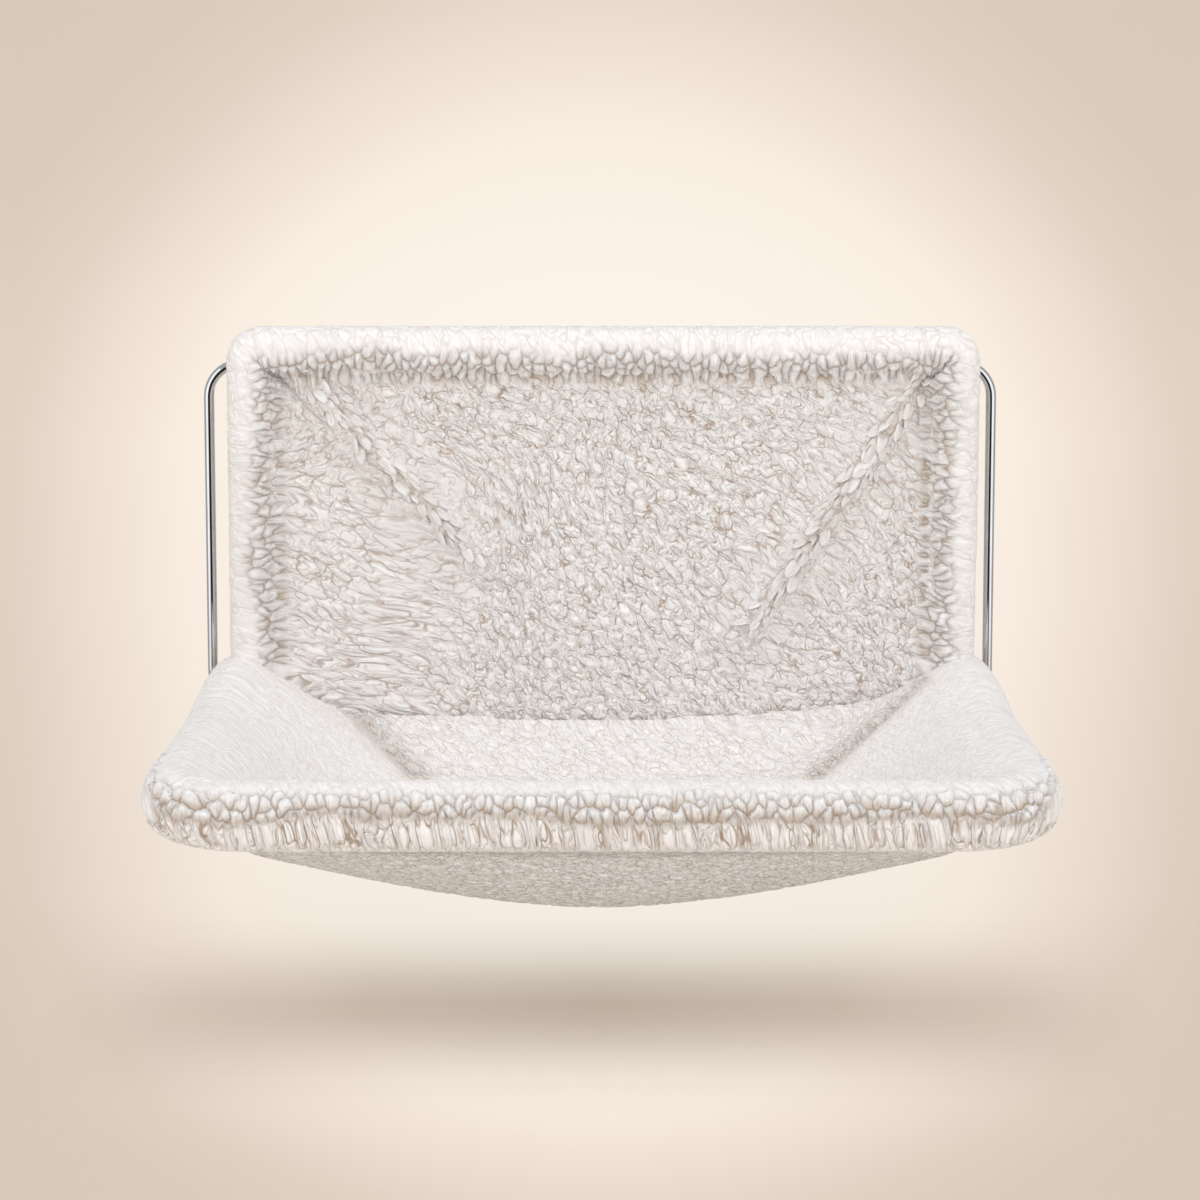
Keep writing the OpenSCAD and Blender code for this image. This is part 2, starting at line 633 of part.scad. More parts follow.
side_hem(LEFT);  // side_hem_left
side_hem(RIGHT);  // side_hem_right
seat_sling();
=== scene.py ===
# %% [markdown]
# # A cat's radiator bed
# A chrome wire loop hangs in front of a radiator on two adjustable hooks. A bolted seat frame
# stands out from it, and a long-pile fleece cover is stretched over both. The frame's metal
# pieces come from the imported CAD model. This lesson gives them their finishes, and makes the
# fleece: two padded skins whose nap is raised by moving their points, with small locks of pile
# along the back panel's two pulled folds.

import json
import math
from types import SimpleNamespace

import bmesh
import bpy
import numpy as np
from mathutils import Matrix, Vector

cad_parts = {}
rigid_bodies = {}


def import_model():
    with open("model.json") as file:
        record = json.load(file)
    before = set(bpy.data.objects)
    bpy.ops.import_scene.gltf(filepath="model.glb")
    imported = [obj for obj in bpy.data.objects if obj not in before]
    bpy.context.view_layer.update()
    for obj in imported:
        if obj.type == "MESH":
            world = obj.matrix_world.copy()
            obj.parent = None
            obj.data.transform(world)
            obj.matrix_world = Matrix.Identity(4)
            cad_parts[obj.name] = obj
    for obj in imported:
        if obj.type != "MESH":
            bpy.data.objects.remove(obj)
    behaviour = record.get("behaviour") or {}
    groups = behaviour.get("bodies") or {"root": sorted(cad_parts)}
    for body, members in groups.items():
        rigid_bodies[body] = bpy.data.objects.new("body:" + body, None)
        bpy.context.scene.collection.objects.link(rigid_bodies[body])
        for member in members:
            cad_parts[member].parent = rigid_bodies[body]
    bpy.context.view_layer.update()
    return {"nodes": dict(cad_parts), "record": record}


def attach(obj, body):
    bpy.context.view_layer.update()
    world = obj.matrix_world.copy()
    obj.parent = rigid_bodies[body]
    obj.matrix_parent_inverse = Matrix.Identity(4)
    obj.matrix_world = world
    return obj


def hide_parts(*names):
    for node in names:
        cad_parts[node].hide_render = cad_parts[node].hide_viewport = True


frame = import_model()
nodes = frame["nodes"]
bpy.context.scene.view_settings.view_transform = "Standard"

# %% [markdown]
# ## The camera
# The bed is looked at from straight in front, 13 degrees above the horizon, through a long
# lens: the loop's upright wires stay parallel. A long lens far away keeps them so here.

# %% Camera
eye = Vector((0, -3.3614, 0.6423))
look_at = Vector((0, -0.146, -0.1))
camera = bpy.data.objects.new("camera", bpy.data.cameras.new("camera"))
bpy.context.scene.collection.objects.link(camera)
camera.data.lens = 176.5
camera.data.sensor_width = 36
camera.data.clip_end = 60
camera.location = eye
camera.rotation_euler = (look_at - eye).to_track_quat("-Z", "Y").to_euler()
bpy.context.scene.camera = camera
print("camera at", tuple(round(v, 3) for v in eye))

# %% [markdown]
# ## Small helpers for materials
# A procedural finish is a short chain of nodes. `add` places a node, sets its sockets and wires
# it up in one line. The others are the few steps that come back in every finish: a sum, a
# stretched range, a colour ramp, a noise, a mix and a bump. Each finish then reads like a recipe.


# %% Material helpers
def new_finish(name):
    finish = bpy.data.materials.new(name)
    finish.use_nodes = True
    return finish, finish.node_tree, finish.node_tree.nodes["Principled BSDF"]


def plug(tree, node, inputs):
    """Set a node's sockets: another node's output is linked, anything else is a plain value."""
    for socket, value in dict(inputs).items():
        if isinstance(value, bpy.types.NodeSocket):
            tree.links.new(value, node.inputs[socket])
        else:
            node.inputs[socket].default_value = value


def add(tree, kind, inputs=(), **settings):
    node = tree.nodes.new(kind)
    for key, value in settings.items():
        setattr(node, key, value)
    plug(tree, node, inputs)
    return node


def maths(tree, operation, first, second):
    return add(tree, "ShaderNodeMath", {0: first, 1: second}, operation=operation).outputs[0]


def shift(tree, operation, first, second):
    return add(tree, "ShaderNodeVectorMath", {0: first, 1: second}, operation=operation).outputs[0]


def scaled(tree, vector, factor):
    return add(tree, "ShaderNodeVectorMath", {0: vector, "Scale": factor}, operation="SCALE").outputs[0]


def stretch(tree, value, low, high, to_low=0, to_high=1, way="LINEAR"):
    """The value with low to high stretched, or squeezed, to a new range."""
    return add(tree, "ShaderNodeMapRange",
               {"Value": value, "From Min": low, "From Max": high, "To Min": to_low, "To Max": to_high},
               interpolation_type=way).outputs[0]


def ramp(tree, factor, stops, interpolation="LINEAR"):
    """A colour, or a grey level, at each stop along the factor."""
    node = add(tree, "ShaderNodeValToRGB", {"Fac": factor})
    node.color_ramp.interpolation = interpolation
    places = node.color_ramp.elements
    while len(places) < len(stops):
        places.new(0.5)
    for place, (at, colour) in zip(places, stops):
        place.position = at
        place.color = (*colour, 1) if isinstance(colour, tuple) else (colour,) * 3 + (1,)
    return node.outputs[0]


def noise(tree, place, scale, detail):
    return add(tree, "ShaderNodeTexNoise", {"Vector": place, "Scale": scale, "Detail": detail}).outputs["Fac"]


def mix(tree, share, first, second, how="MIX"):
    """Two colours mixed by a share, or the first multiplied by the second."""
    return add(tree, "ShaderNodeMix", {0: share, 6: first, 7: second},
               data_type="RGBA", blend_type=how).outputs[2]


def mix_levels(tree, share, first, second):
    return add(tree, "ShaderNodeMix", {0: share, 2: first, 3: second}, data_type="FLOAT").outputs[0]


def dent(tree, shader, height, strength, distance):
    bump = add(tree, "ShaderNodeBump", {"Height": height, "Strength": strength, "Distance": distance})
    plug(tree, shader, {"Normal": bump.outputs[0]})


def new_piece(name, bm):
    """The bmesh as a mesh object in the scene."""
    mesh = bpy.data.meshes.new(name)
    bm.to_mesh(mesh)
    bm.free()
    piece = bpy.data.objects.new(name, mesh)
    bpy.context.scene.collection.objects.link(piece)
    return piece


print("helpers ready")

# %% [markdown]
# ## The floor
# The bed floats over a plain cream floor that is brightest behind it. More light would also
# wash out the fleece, so the glow is in the floor's own paint: a soft gradient that the camera
# and the chrome see at a steady brightness. A painted soft shade lies under the seat. All
# other light meets a plain cream floor instead, which warms the fleece's underside.

# %% Floor
FLOOR_Z, FLOOR_HALF = -0.345, 14
bm = bmesh.new()
bmesh.ops.create_grid(bm, x_segments=2, y_segments=2, size=FLOOR_HALF)
bmesh.ops.translate(bm, vec=(0, 0, FLOOR_Z), verts=bm.verts)
floor = new_piece("floor", bm)

finish, tree, shader = new_finish("cream_floor")
split = add(tree, "ShaderNodeSeparateXYZ", {"Vector": add(tree, "ShaderNodeTexCoord").outputs["Object"]})
x, y = split.outputs["X"], split.outputs["Y"]
half_width = maths(tree, "ADD", maths(tree, "MULTIPLY", y, 0.09), 0.36)
aside = maths(tree, "MINIMUM", maths(tree, "POWER", maths(tree, "DIVIDE", x, half_width), 2), 1)
fore_and_aft = ramp(tree, stretch(tree, y, -0.5, 4.5), [
    (0.0, 0.92), (0.04, 0.45), (0.12, 0.12), (0.28, 0.015), (0.4, 0.0), (0.54, 0.14), (0.73, 0.45),
    (0.98, 0.82)])
off_centre = maths(tree, "MULTIPLY", maths(tree, "ADD", aside, fore_and_aft), 0.5)
glow = ramp(tree, off_centre, [
    (0.0, (0.99, 0.93, 0.85)), (0.25, (0.96, 0.86, 0.76)), (0.355, (0.87, 0.76, 0.665)),
    (0.44, (0.807, 0.694, 0.604)), (0.5, (0.761, 0.651, 0.558)), (0.65, (0.723, 0.610, 0.515)),
    (1.0, (0.708, 0.597, 0.503))])
across = maths(tree, "DIVIDE", maths(tree, "ABSOLUTE", x, 0), 0.32)
shade_across = ramp(tree, across, [
    (0.0, 1.0), (0.43, 0.84), (0.65, 0.57), (0.76, 0.40), (0.88, 0.13), (1.0, 0.0)])
shade_along = ramp(tree, stretch(tree, y, -0.32, 0.08), [
    (0.06, 0.0), (0.15, 0.08), (0.24, 0.33), (0.33, 0.65), (0.43, 0.93), (0.51, 1.0), (0.625, 0.75),
    (0.725, 0.41), (0.835, 0.14), (0.95, 0.0)])
shade = maths(tree, "MULTIPLY", shade_across, shade_along)
glow = mix(tree, shade, glow, (0.57, 0.53, 0.49, 1), "MULTIPLY")
rays = add(tree, "ShaderNodeLightPath").outputs
seen = maths(tree, "MAXIMUM", rays["Is Camera Ray"], rays["Is Glossy Ray"])
dimmed = mix(tree, 1, glow, (0.2, 0.2, 0.2, 1), "MULTIPLY")
own_light = stretch(tree, y, -0.1, 1.8, 0.79, 0.88)
plug(tree, shader, {
    "Base Color": mix(tree, seen, (0.92, 0.85, 0.78, 1), dimmed), "Emission Color": glow,
    "Emission Strength": maths(tree, "MULTIPLY", seen, own_light), "Roughness": 1, "Specular IOR Level": 0})
floor.data.materials.append(finish)
print("floor at z", FLOOR_Z)

# %% [markdown]
# ## Lamps and world
# The light is soft and nearly without shadows. A wide lamp in front does most, a weaker one
# hangs overhead, two fill the sides, and an even, slightly warm world lifts what they miss.


# %% Lamps and world
def soft_lamp(name, place, size, power):
    lamp = bpy.data.objects.new(name, bpy.data.lights.new(name, "AREA"))
    bpy.context.scene.collection.objects.link(lamp)
    lamp.data.shape = "RECTANGLE"
    lamp.data.size, lamp.data.size_y = size
    lamp.data.energy = power
    lamp.location = place
    lamp.rotation_euler = (bed_middle - Vector(place)).to_track_quat("-Z", "Y").to_euler()


bed_middle = Vector((0, -0.14, -0.12))
soft_lamp("overhead", (0, -0.3, 1.9), (1.9, 0.8), 11.5)
soft_lamp("front", (0, -3.6, 1.5), (3.0, 1.6), 47)
soft_lamp("left_side", (-2.2, -1.3, 0.5), (1.6, 1.8), 11)
soft_lamp("right_side", (2.2, -1.3, 0.5), (1.6, 1.8), 11)
world = bpy.data.worlds.new("studio")
bpy.context.scene.world = world
world.use_nodes = True
plug(world.node_tree, world.node_tree.nodes["Background"],
     {"Color": (1.0, 0.992, 0.985, 1), "Strength": 0.47})

# %% [markdown]
# ## Cards for the chrome
# Chrome shows what stands round it. A studio hangs black, grey and white cards just out of
# view, and each draws one stripe down the wire. These eight cards are seen by mirror-like
# rays only, so they light nothing else: a black, a grey and a white one on each side, and two
# greys behind the loop's middle.


# %% Cards
def card(name, centre, size, turn, glow):
    bm = bmesh.new()
    bmesh.ops.create_grid(bm, x_segments=1, y_segments=1, size=0.5)
    bmesh.ops.scale(bm, vec=(*size, 1), verts=bm.verts)
    for degrees, axis in ((90, "X"), (turn, "Z")):
        bmesh.ops.rotate(bm, matrix=Matrix.Rotation(math.radians(degrees), 3, axis), verts=bm.verts)
    bmesh.ops.translate(bm, vec=centre, verts=bm.verts)
    piece = new_piece(name, bm)
    piece.visible_camera = piece.visible_diffuse = piece.visible_shadow = False
    piece.visible_transmission = piece.visible_volume_scatter = False
    finish, tree, shader = new_finish(name)
    plug(tree, shader, {"Base Color": (0, 0, 0, 1), "Emission Color": (1, 1, 1, 1), "Emission Strength": glow,
                        "Roughness": 1, "Specular IOR Level": 0})
    piece.data.materials.append(finish)


for side in (-1, 1):
    card("black_card", (side * 0.227, -0.16, -0.07), (0.13, 0.28), 0, 0.02)
    card("outer_grey", (side * 0.45, 0.27, -0.06), (0.68, 0.56), 90, 0.42)
    card("white_card", (side * 0.8, -0.5, 0.1), (1.0, 0.89), 90, 1.2)
card("inner_grey", (0, -0.16, -0.07), (0.324, 0.28), 0, 0.24)
card("middle_grey", (0, -0.08, -0.07), (0.158, 0.28), 90, 0.30)

# %% [markdown]
# ## The metal, rubber and tape
# Bright chrome is almost a mirror; its dark and light streaks are the room's. Fine polishing
# lines and a few dull spots keep it from looking drawn. The hidden steel is zinc plated: duller,
# with a mottled grain. Rubber is black and matt with a faint moulded grain, and the closure tape
# is a woven strip with short loops.


# %% Finishes for the CAD pieces
def chrome_finish():
    finish, tree, shader = new_finish("bright_chrome")
    place = add(tree, "ShaderNodeTexCoord").outputs["Object"]
    long_lines = add(tree, "ShaderNodeMapping", {"Vector": place, "Scale": (900, 900, 30)}).outputs[0]
    dull = noise(tree, place, 60, 4)
    plug(tree, shader, {
        "Base Color": ramp(tree, dull, [(0.3, (0.80, 0.81, 0.83)), (0.75, (0.70, 0.71, 0.73))]),
        "Roughness": stretch(tree, dull, 0.35, 0.75, 0.02, 0.07), "Metallic": 1})
    dent(tree, shader, noise(tree, long_lines, 1, 3), 0.04, 0.0002)
    return finish


def zinc_finish():
    finish, tree, shader = new_finish("zinc_plated_steel")
    place = add(tree, "ShaderNodeTexCoord").outputs["Object"]
    spangle = add(tree, "ShaderNodeTexVoronoi", {"Vector": place, "Scale": 260}).outputs["Color"]
    cloud = noise(tree, place, 90, 5)
    grain = mix_levels(tree, 0.3, cloud, spangle)
    plug(tree, shader, {
        "Base Color": ramp(tree, grain, [(0.25, (0.50, 0.51, 0.52)), (0.7, (0.68, 0.69, 0.71))]),
        "Roughness": stretch(tree, grain, 0.2, 0.8, 0.42, 0.25), "Metallic": 1})
    dent(tree, shader, cloud, 0.12, 0.0003)
    return finish


def rubber_finish():
    finish, tree, shader = new_finish("moulded_rubber")
    place = add(tree, "ShaderNodeTexCoord").outputs["Object"]
    bloom = noise(tree, place, 70, 4)
    plug(tree, shader, {
        "Base Color": ramp(tree, bloom, [(0.35, (0.022, 0.022, 0.024)), (0.8, (0.05, 0.05, 0.052))]),
        "Roughness": stretch(tree, bloom, 0, 1, 0.5, 0.75)})
    dent(tree, shader, noise(tree, place, 1400, 2), 0.35, 0.0002)
    return finish


def tape_finish():
    finish, tree, shader = new_finish("closure_tape")
    place = add(tree, "ShaderNodeTexCoord").outputs["Object"]
    loops = add(tree, "ShaderNodeTexVoronoi", {"Vector": place, "Scale": 900}).outputs["Distance"]
    ribs = add(tree, "ShaderNodeTexWave", {"Vector": place, "Scale": 120, "Distortion": 1.5, "Detail": 2})
    weave = maths(tree, "ADD", loops, ribs.outputs["Fac"])
    tone = ramp(tree, weave, [(0.2, (0.50, 0.46, 0.41)), (1.0, (0.72, 0.68, 0.62))])
    plug(tree, shader, {"Base Color": tone, "Roughness": 0.95})
    dent(tree, shader, weave, 0.6, 0.0005)
    return finish


finishes = {"chrome": chrome_finish(), "zinc_steel": zinc_finish(), "black_rubber": rubber_finish(),
            "closure_tape": tape_finish()}
for part in frame["record"]["subparts"]:
    if part["material_slot"] in finishes:
        for place in nodes[part["node"]].material_slots:
            place.material = finishes[part["material_slot"]]

# %% [markdown]
# ## The padded skins
# Under the pile each cover is a soft padded body: a tube over a wire, run together with the
# stretched cloth. The tube is a curve with a round section, and the stretched cloth starts as a
# copy of its CAD solid. Remeshing runs them together without a seam, and smoothing then lets
# the joint sag a little, as padding does.


# %% Skin helpers
VOXEL = 0.003


def smooth_step(low, high, x):
    t = np.clip((x - low) / (high - low), 0, 1)
    return t * t * (3 - 2 * t)


def rounded_route(points, bend, steps=10):
    """Points along straight lengths whose corners are replaced by arcs."""
    points = [Vector(p) for p in points]
    route = [points[0]]
    for before, corner, after in zip(points, points[1:], points[2:]):
        back, on = (before - corner).normalized(), (after - corner).normalized()
        half = back.angle(on) / 2
        centre = corner + (back + on).normalized() * (bend / math.sin(half))
        start, end = corner + back * (bend / math.tan(half)), corner + on * (bend / math.tan(half))
        for i in range(steps + 1):
            arm = (start - centre).normalized().slerp((end - centre).normalized(), i / steps)
            route.append(centre + arm * bend)
    return route + [points[-1]]


def tube(name, route, radius):
    line = bpy.data.curves.new(name, "CURVE")
    line.dimensions = "3D"
    line.bevel_depth = radius
    line.bevel_resolution = 8
    line.use_fill_caps = True
    spline = line.splines.new("POLY")
    spline.points.add(len(route) - 1)
    for point, place in zip(spline.points, route):
        point.co = (*place, 1)
    piece = bpy.data.objects.new(name, line)
    bpy.context.scene.collection.objects.link(piece)
    return piece


def made_mesh(piece):
    """The piece as a plain mesh, with its modifiers applied."""
    return bpy.data.meshes.new_from_object(piece.evaluated_get(bpy.context.evaluated_depsgraph_get()))


def run_together(name, hem_body, cloth_node, rounds):
    """A hem's tube and a copy of a CAD cloth as one smooth closed skin."""
    bm = bmesh.new()
    bm.from_mesh(made_mesh(hem_body))
    bpy.data.objects.remove(hem_body)
    bm.from_mesh(nodes[cloth_node].data)
    bmesh.ops.remove_doubles(bm, verts=bm.verts, dist=1e-5)
    skin = new_piece(name, bm)
    melt = skin.modifiers.new("run_together", "REMESH")
    melt.mode = "VOXEL"
    melt.voxel_size = VOXEL
    even = skin.modifiers.new("even", "SMOOTH")
    even.factor, even.iterations = 0.5, rounds
    mesh = made_mesh(skin)
    skin.modifiers.clear()
    skin.data = mesh
    skin.data.name = name
    print(name, "skin:", len(mesh.polygons), "faces")
    return skin


# %% [markdown]
# ## Routes of the two wires
# Both hems follow the wire inside them, as in the CAD source. The fleece isn't quite even on
# it: it stands a little fuller on the right, the ends of the seat's arms ride up on the
# panel, and the panel's hem leans outwards. The routes carry that before a tube is drawn.

# %% The two skins
HEM_Z, REAR_X, REAR_Y, FRONT_X, FRONT_Y, SEAT_BEND = -0.18635, 0.2075, -0.023, 0.2355, -0.290, 0.038
WIDER_LEFT, WIDER_RIGHT, ARM_RISE = 1.002, 1.01, 0.0075
LONG_LENGTH, CUTS = 0.05, 30
seat_route = rounded_route([(-REAR_X, REAR_Y, HEM_Z), (-FRONT_X, FRONT_Y, HEM_Z),
                            (FRONT_X, FRONT_Y, HEM_Z), (REAR_X, REAR_Y, HEM_Z)], SEAT_BEND)
seat_route = [a.lerp(b, i / CUTS) for a, b in zip(seat_route, seat_route[1:]) for i in range(CUTS)
              if (b - a).length > LONG_LENGTH or i == 0] + [seat_route[-1]]
seat_route = [Vector((p.x * (WIDER_RIGHT if p.x > 0 else WIDER_LEFT), p.y,
                      HEM_Z + ARM_RISE * smooth_step(-0.13, -0.055, p.y))) for p in seat_route]

PANEL_Y, PANEL_X, PANEL_TOP, PANEL_FOOT, PANEL_BEND = -0.02678, 0.20025, 0.02065, -0.166, 0.0065
LEFT_FULL, TOP_FULL, RIGHT_FULL, RIGHT_FOOT_FULL = 0.0018, 0.0003, 0.0056, 0.0046
panel_route = rounded_route([
    (-PANEL_X - LEFT_FULL, PANEL_Y, PANEL_FOOT), (-PANEL_X - LEFT_FULL, PANEL_Y, PANEL_TOP + TOP_FULL),
    (PANEL_X + RIGHT_FULL, PANEL_Y, PANEL_TOP + TOP_FULL),
    (PANEL_X + RIGHT_FOOT_FULL, PANEL_Y, PANEL_FOOT)], PANEL_BEND)

SEAT_HEM, PANEL_HEM = 0.020, 0.0138
seat = run_together("seat_cover", tube("seat_hem_body", seat_route, SEAT_HEM), "seat_sling", 6)
panel = run_together("panel_cover", tube("panel_hem_body", panel_route, PANEL_HEM), "back_panel", 4)

# %% [markdown]
# ## How the pile lies
# Long-pile fleece stands in small pointed locks with creases between them. Which way they lie
# and how deep the creases are changes over the cover. Each skin point gets that as attributes.
# `lay` is the point's place with one direction shortened: a crease pattern drawn in it comes
# out longer that way. `rows` runs along and round a hem, for the petals that stand there.
# `crease`, `relief` and `petal` say how much of each a spot has, and one more says how much painted shade
# darkens its colour where shade would fall.


# %% Fields over a skin
WAVES = 7
UP = np.array([0, 0, 1.0])


def points_of(mesh, what="co"):
    out = np.zeros(len(mesh.vertices) * 3)
    if what == "co":
        mesh.vertices.foreach_get("co", out)
    else:
        mesh.vertex_normals.foreach_get("vector", out)
    return out.reshape(-1, 3)


def move_points(mesh, places):
    mesh.vertices.foreach_set("co", places.ravel())
    mesh.update()


def keep(mesh, name, values):
    vector = values.ndim == 2
    field = mesh.attributes.new(name, "FLOAT_VECTOR" if vector else "FLOAT", "POINT")
    field.data.foreach_set("vector" if vector else "value", values.astype(np.float32).ravel())


def waves(places, length, seed):
    """A smooth random number from about -1 to 1 at each place."""
    rng = np.random.default_rng(seed)
    out = np.zeros(len(places))
    for _ in range(WAVES):
        way = rng.normal(size=3)
        way /= np.linalg.norm(way)
        turns = way * 2 * np.pi / (length * rng.uniform(0.7, 1.5))
        out += np.sin(places @ turns + rng.uniform(0, 2 * np.pi))
    return out / 2.6


def bell(x, width):
    return np.exp(-((x / width) ** 2))


def unit(v):
    return v / np.maximum(np.linalg.norm(v, axis=-1, keepdims=True), 1e-9)


def from_route(places, route):
    """The vector from the route's nearest point, its direction there, the length so far, the distance."""
    best = np.full(len(places), np.inf)
    arm, way, run = np.zeros_like(places), np.zeros_like(places), np.zeros(len(places))
    done = 0.0
    for a, b in zip(np.array(route)[:-1], np.array(route)[1:]):
        length = np.linalg.norm(b - a)
        if length < 1e-7:
            continue
        t = np.clip((places - a) @ (b - a) / length**2, 0, 1)
        off = places - (a + t[:, None] * (b - a))
        near = (off**2).sum(1) < best
        best[near] = (off[near] ** 2).sum(1)
        arm[near], way[near], run[near] = off[near], (b - a) / length, (done + t * length)[near]
        done += length
    return arm, way, run, np.sqrt(best)


def shortened(at, way, share):
    return at - share * (at @ way)[:, None] * way


def along_arm(arm, off, share, radius, far, near):
    """What to take off the lay so that creases run away from a hem; it fades from near to far."""
    close = np.minimum(1, radius / np.maximum(off, 1e-6)) * smooth_step(far, near, off)
    return share * close[:, None] * arm


print("field helpers ready,", WAVES, "waves in each smooth random field")

# %% [markdown]
# ## The seat's folds and nap
# Two folds are pressed into the seat where its sides meet its rear slope. They die away
# before the middle. Along the front roll the pile parts: short rounded petals stand above the
# parting, and combed strands hang below it. The sides are smooth, the middle is creased, and
# the underside hangs in longer locks.

# %% The seat cover's fields
SEAT_FOLDS = [
    [(-0.154, -0.024, 0), (-0.110, -0.071, 0), (-0.078, -0.110, 0), (-0.059, -0.133, 0)],
    [(0.192, -0.046, 0), (0.158, -0.070, 0), (0.126, -0.086, 0), (0.090, -0.110, 0), (0.065, -0.127, 0)]]
FOLD_FADE, FOLD_WIDTH, FOLD_SHOULDER, FOLD_DEPTH = 0.032, 0.007, 0.022, 0.0055
SEAT_ROW = 0.0125
STRAND_SHORT = 0.36


def by_fold(at, line):
    """The distance from a fold in the seat, and 1 along it that dies away over its last length."""
    run, off = from_route(at * [1, 1, 0], line)[2:]
    length = np.linalg.norm(np.diff(np.array(line), axis=0), axis=1).sum()
    return off, smooth_step(length, length - FOLD_FADE, run)


def fold_seat(mesh):
    at, normal = points_of(mesh), points_of(mesh, "normal")
    press = np.zeros(len(at))
    for line in SEAT_FOLDS:
        off, along = by_fold(at, line)
        press = np.maximum(press, along * (bell(off, FOLD_WIDTH) - 0.45 * bell(off, FOLD_SHOULDER)))
    press *= smooth_step(0.25, 0.6, normal[:, 2]) * smooth_step(HEM_Z + 0.016, HEM_Z + 0.004, at[:, 2])
    move_points(mesh, at - press[:, None] * normal * FOLD_DEPTH)


def beyond_folds(at):
    """1 on the seat's two smooth sides, 0 between the folds."""
    left_x = np.interp(-at[:, 1], [0.024, 0.071, 0.110, 0.2], [-0.154, -0.110, -0.078, -0.055])
    right_x = np.interp(-at[:, 1], [0.046, 0.070, 0.086, 0.110, 0.2], [0.192, 0.158, 0.126, 0.090, 0.065])
    return smooth_step(0.004, -0.004, at[:, 0] - left_x) + smooth_step(-0.004, 0.004, at[:, 0] - right_x)


def drawn_angle(angle, parting, off, ahead):
    """The angle round the roll, squeezed below the parting so that strands come out long there."""
    drawn = parting + STRAND_SHORT * (angle - parting)
    lowest = parting + STRAND_SHORT * (-90 - parting)
    drawn = np.where(angle < -90, lowest + (angle + 90) * (lowest + 180) / 90, drawn)
    drawn = np.where(angle < parting, drawn, angle)
    return np.radians(angle + (drawn - angle) * smooth_step(0.035, 0.024, off) * ahead)[:, None]


def comb_seat(mesh):
    at, normal = points_of(mesh), points_of(mesh, "normal")
    arm, way, run, off = from_route(at, seat_route)
    out = np.cross(way, UP)
    angle = np.degrees(np.arctan2(arm[:, 2], (arm * out).sum(1)))
    parting = 14 + 9 * waves(at, 0.09, 3) + 4 * waves(at, 0.02, 8)
    hem = smooth_step(0.0245, 0.0205, off)
    ahead = smooth_step(-0.185, -0.235, at[:, 1]) * smooth_step(0.93, 0.75, np.abs(normal[:, 0]))
    groove = np.maximum(*[along * bell(away, 0.009)
                          for away, along in (by_fold(at, line) for line in SEAT_FOLDS)])
    middle = (1 - hem) * (1 - beyond_folds(at))
    under = (normal[:, 2] <= 0) & (hem < 0.5)
    # How deeply creased each spot is, where petals stand, and where shade is painted
    crease = 0.17 + middle * (0.17 + 0.12 * smooth_step(-0.16, -0.05, at[:, 1]) + 0.45 * groove)
    crease = np.maximum(crease, hem * ahead * smooth_step(72, 20, angle) * smooth_step(-88, -30, angle))
    crease = np.where(under, 0.72, crease)
    petal = hem * ahead * smooth_step(72, 50, angle) * smooth_step(-9, 1, angle - parting)
    # Painted shade: along the roll's parting here, and in the folds' grooves off the hem below.
    shade = 0.5 * bell(angle - parting, 9) * hem * ahead
    keep(mesh, "crease", crease)
    keep(mesh, "petal", petal)
    keep(mesh, "relief", np.clip(crease, 0.3, 1) * (1 - petal))
    keep(mesh, "deep", np.maximum(shade, 0.35 * groove * (1 - hem)))
    # Which way they lie
    lay = shortened(at, unit(np.array([0.7, -0.5, -0.5])), 0.52)
    lay = lay - along_arm(arm, off, 0.5, 0.02, 0.09, 0.03)
    drawn = drawn_angle(angle, parting, off, ahead)
    lay = lay - 0.8 * (arm - off[:, None] * (np.cos(drawn) * out + np.sin(drawn) * UP))
    keep(mesh, "lay", 1.25 * lay)
    keep(mesh, "rows", np.stack([run, SEAT_ROW * np.radians(angle), 0 * run], 1))
    keep(mesh, "points_up", np.ones(len(at)))
    print("seat: petals on", round(100 * (petal > 0.5).mean(), 1), "% of the skin")


fold_seat(seat.data)
comb_seat(seat.data)

# %% [markdown]
# ## The panel's ridges
# The stretched panel has two pulled folds that stand up as ridges. They start at its top
# corners and run down towards the middle. The skin is lifted along them and sunk a little
# beside them. Locks stand on their crests, combed down the ridge, and need a direction and a
# size of their own. `on_panel` gathers where each point lies, for the two steps after it.

# %% Where a point lies on the panel
RIDGES = [((-0.179, 0.0187), (-0.069, -0.105)), ((0.188, 0.0067), (0.081, -0.153))]
RIDGE_WIDTH, RIDGE_SHOULDER, RIDGE_HEIGHT = 0.010, 0.026, 0.0085
RIDGE_SIDE, RIDGE_CREST, RIDGE_ROW, RIDGE_TURN = 0.024, 0.0072, 0.075, 0.0117
TOWARD = np.array([0, -1.0, 0])


def raise_folds(mesh):
    at, normal = points_of(mesh), points_of(mesh, "normal")
    lift = np.zeros(len(at))
    for (x0, z0), (x1, z1) in RIDGES:
        run, off = from_route(at * [1, 0, 1], [(x0, 0, z0), (x1, 0, z1)])[2:]
        lift += (bell(off, RIDGE_WIDTH) - 0.5 * bell(off, RIDGE_SHOULDER)) * smooth_step(0.0, 0.04, run)
    move_points(mesh, at + (lift * (normal[:, 1] < -0.5) * RIDGE_HEIGHT)[:, None] * TOWARD)


def by_ridge(at, start, end):
    """How far down and how far aside of a ridge each point is, its share, and the two directions."""
    a, b = np.array(start), np.array(end)
    line = (b - a) / np.linalg.norm(b - a)
    t = (at[:, [0, 2]] - a) @ line / np.linalg.norm(b - a)
    side = (at[:, [0, 2]] - a) @ np.array([-line[1], line[0]])
    reach = smooth_step(-0.08, 0.03, t) * smooth_step(1.15, 0.8, t)
    return t, side, reach, np.array([line[0], 0, line[1]]), np.array([-line[1], 0, line[0]])


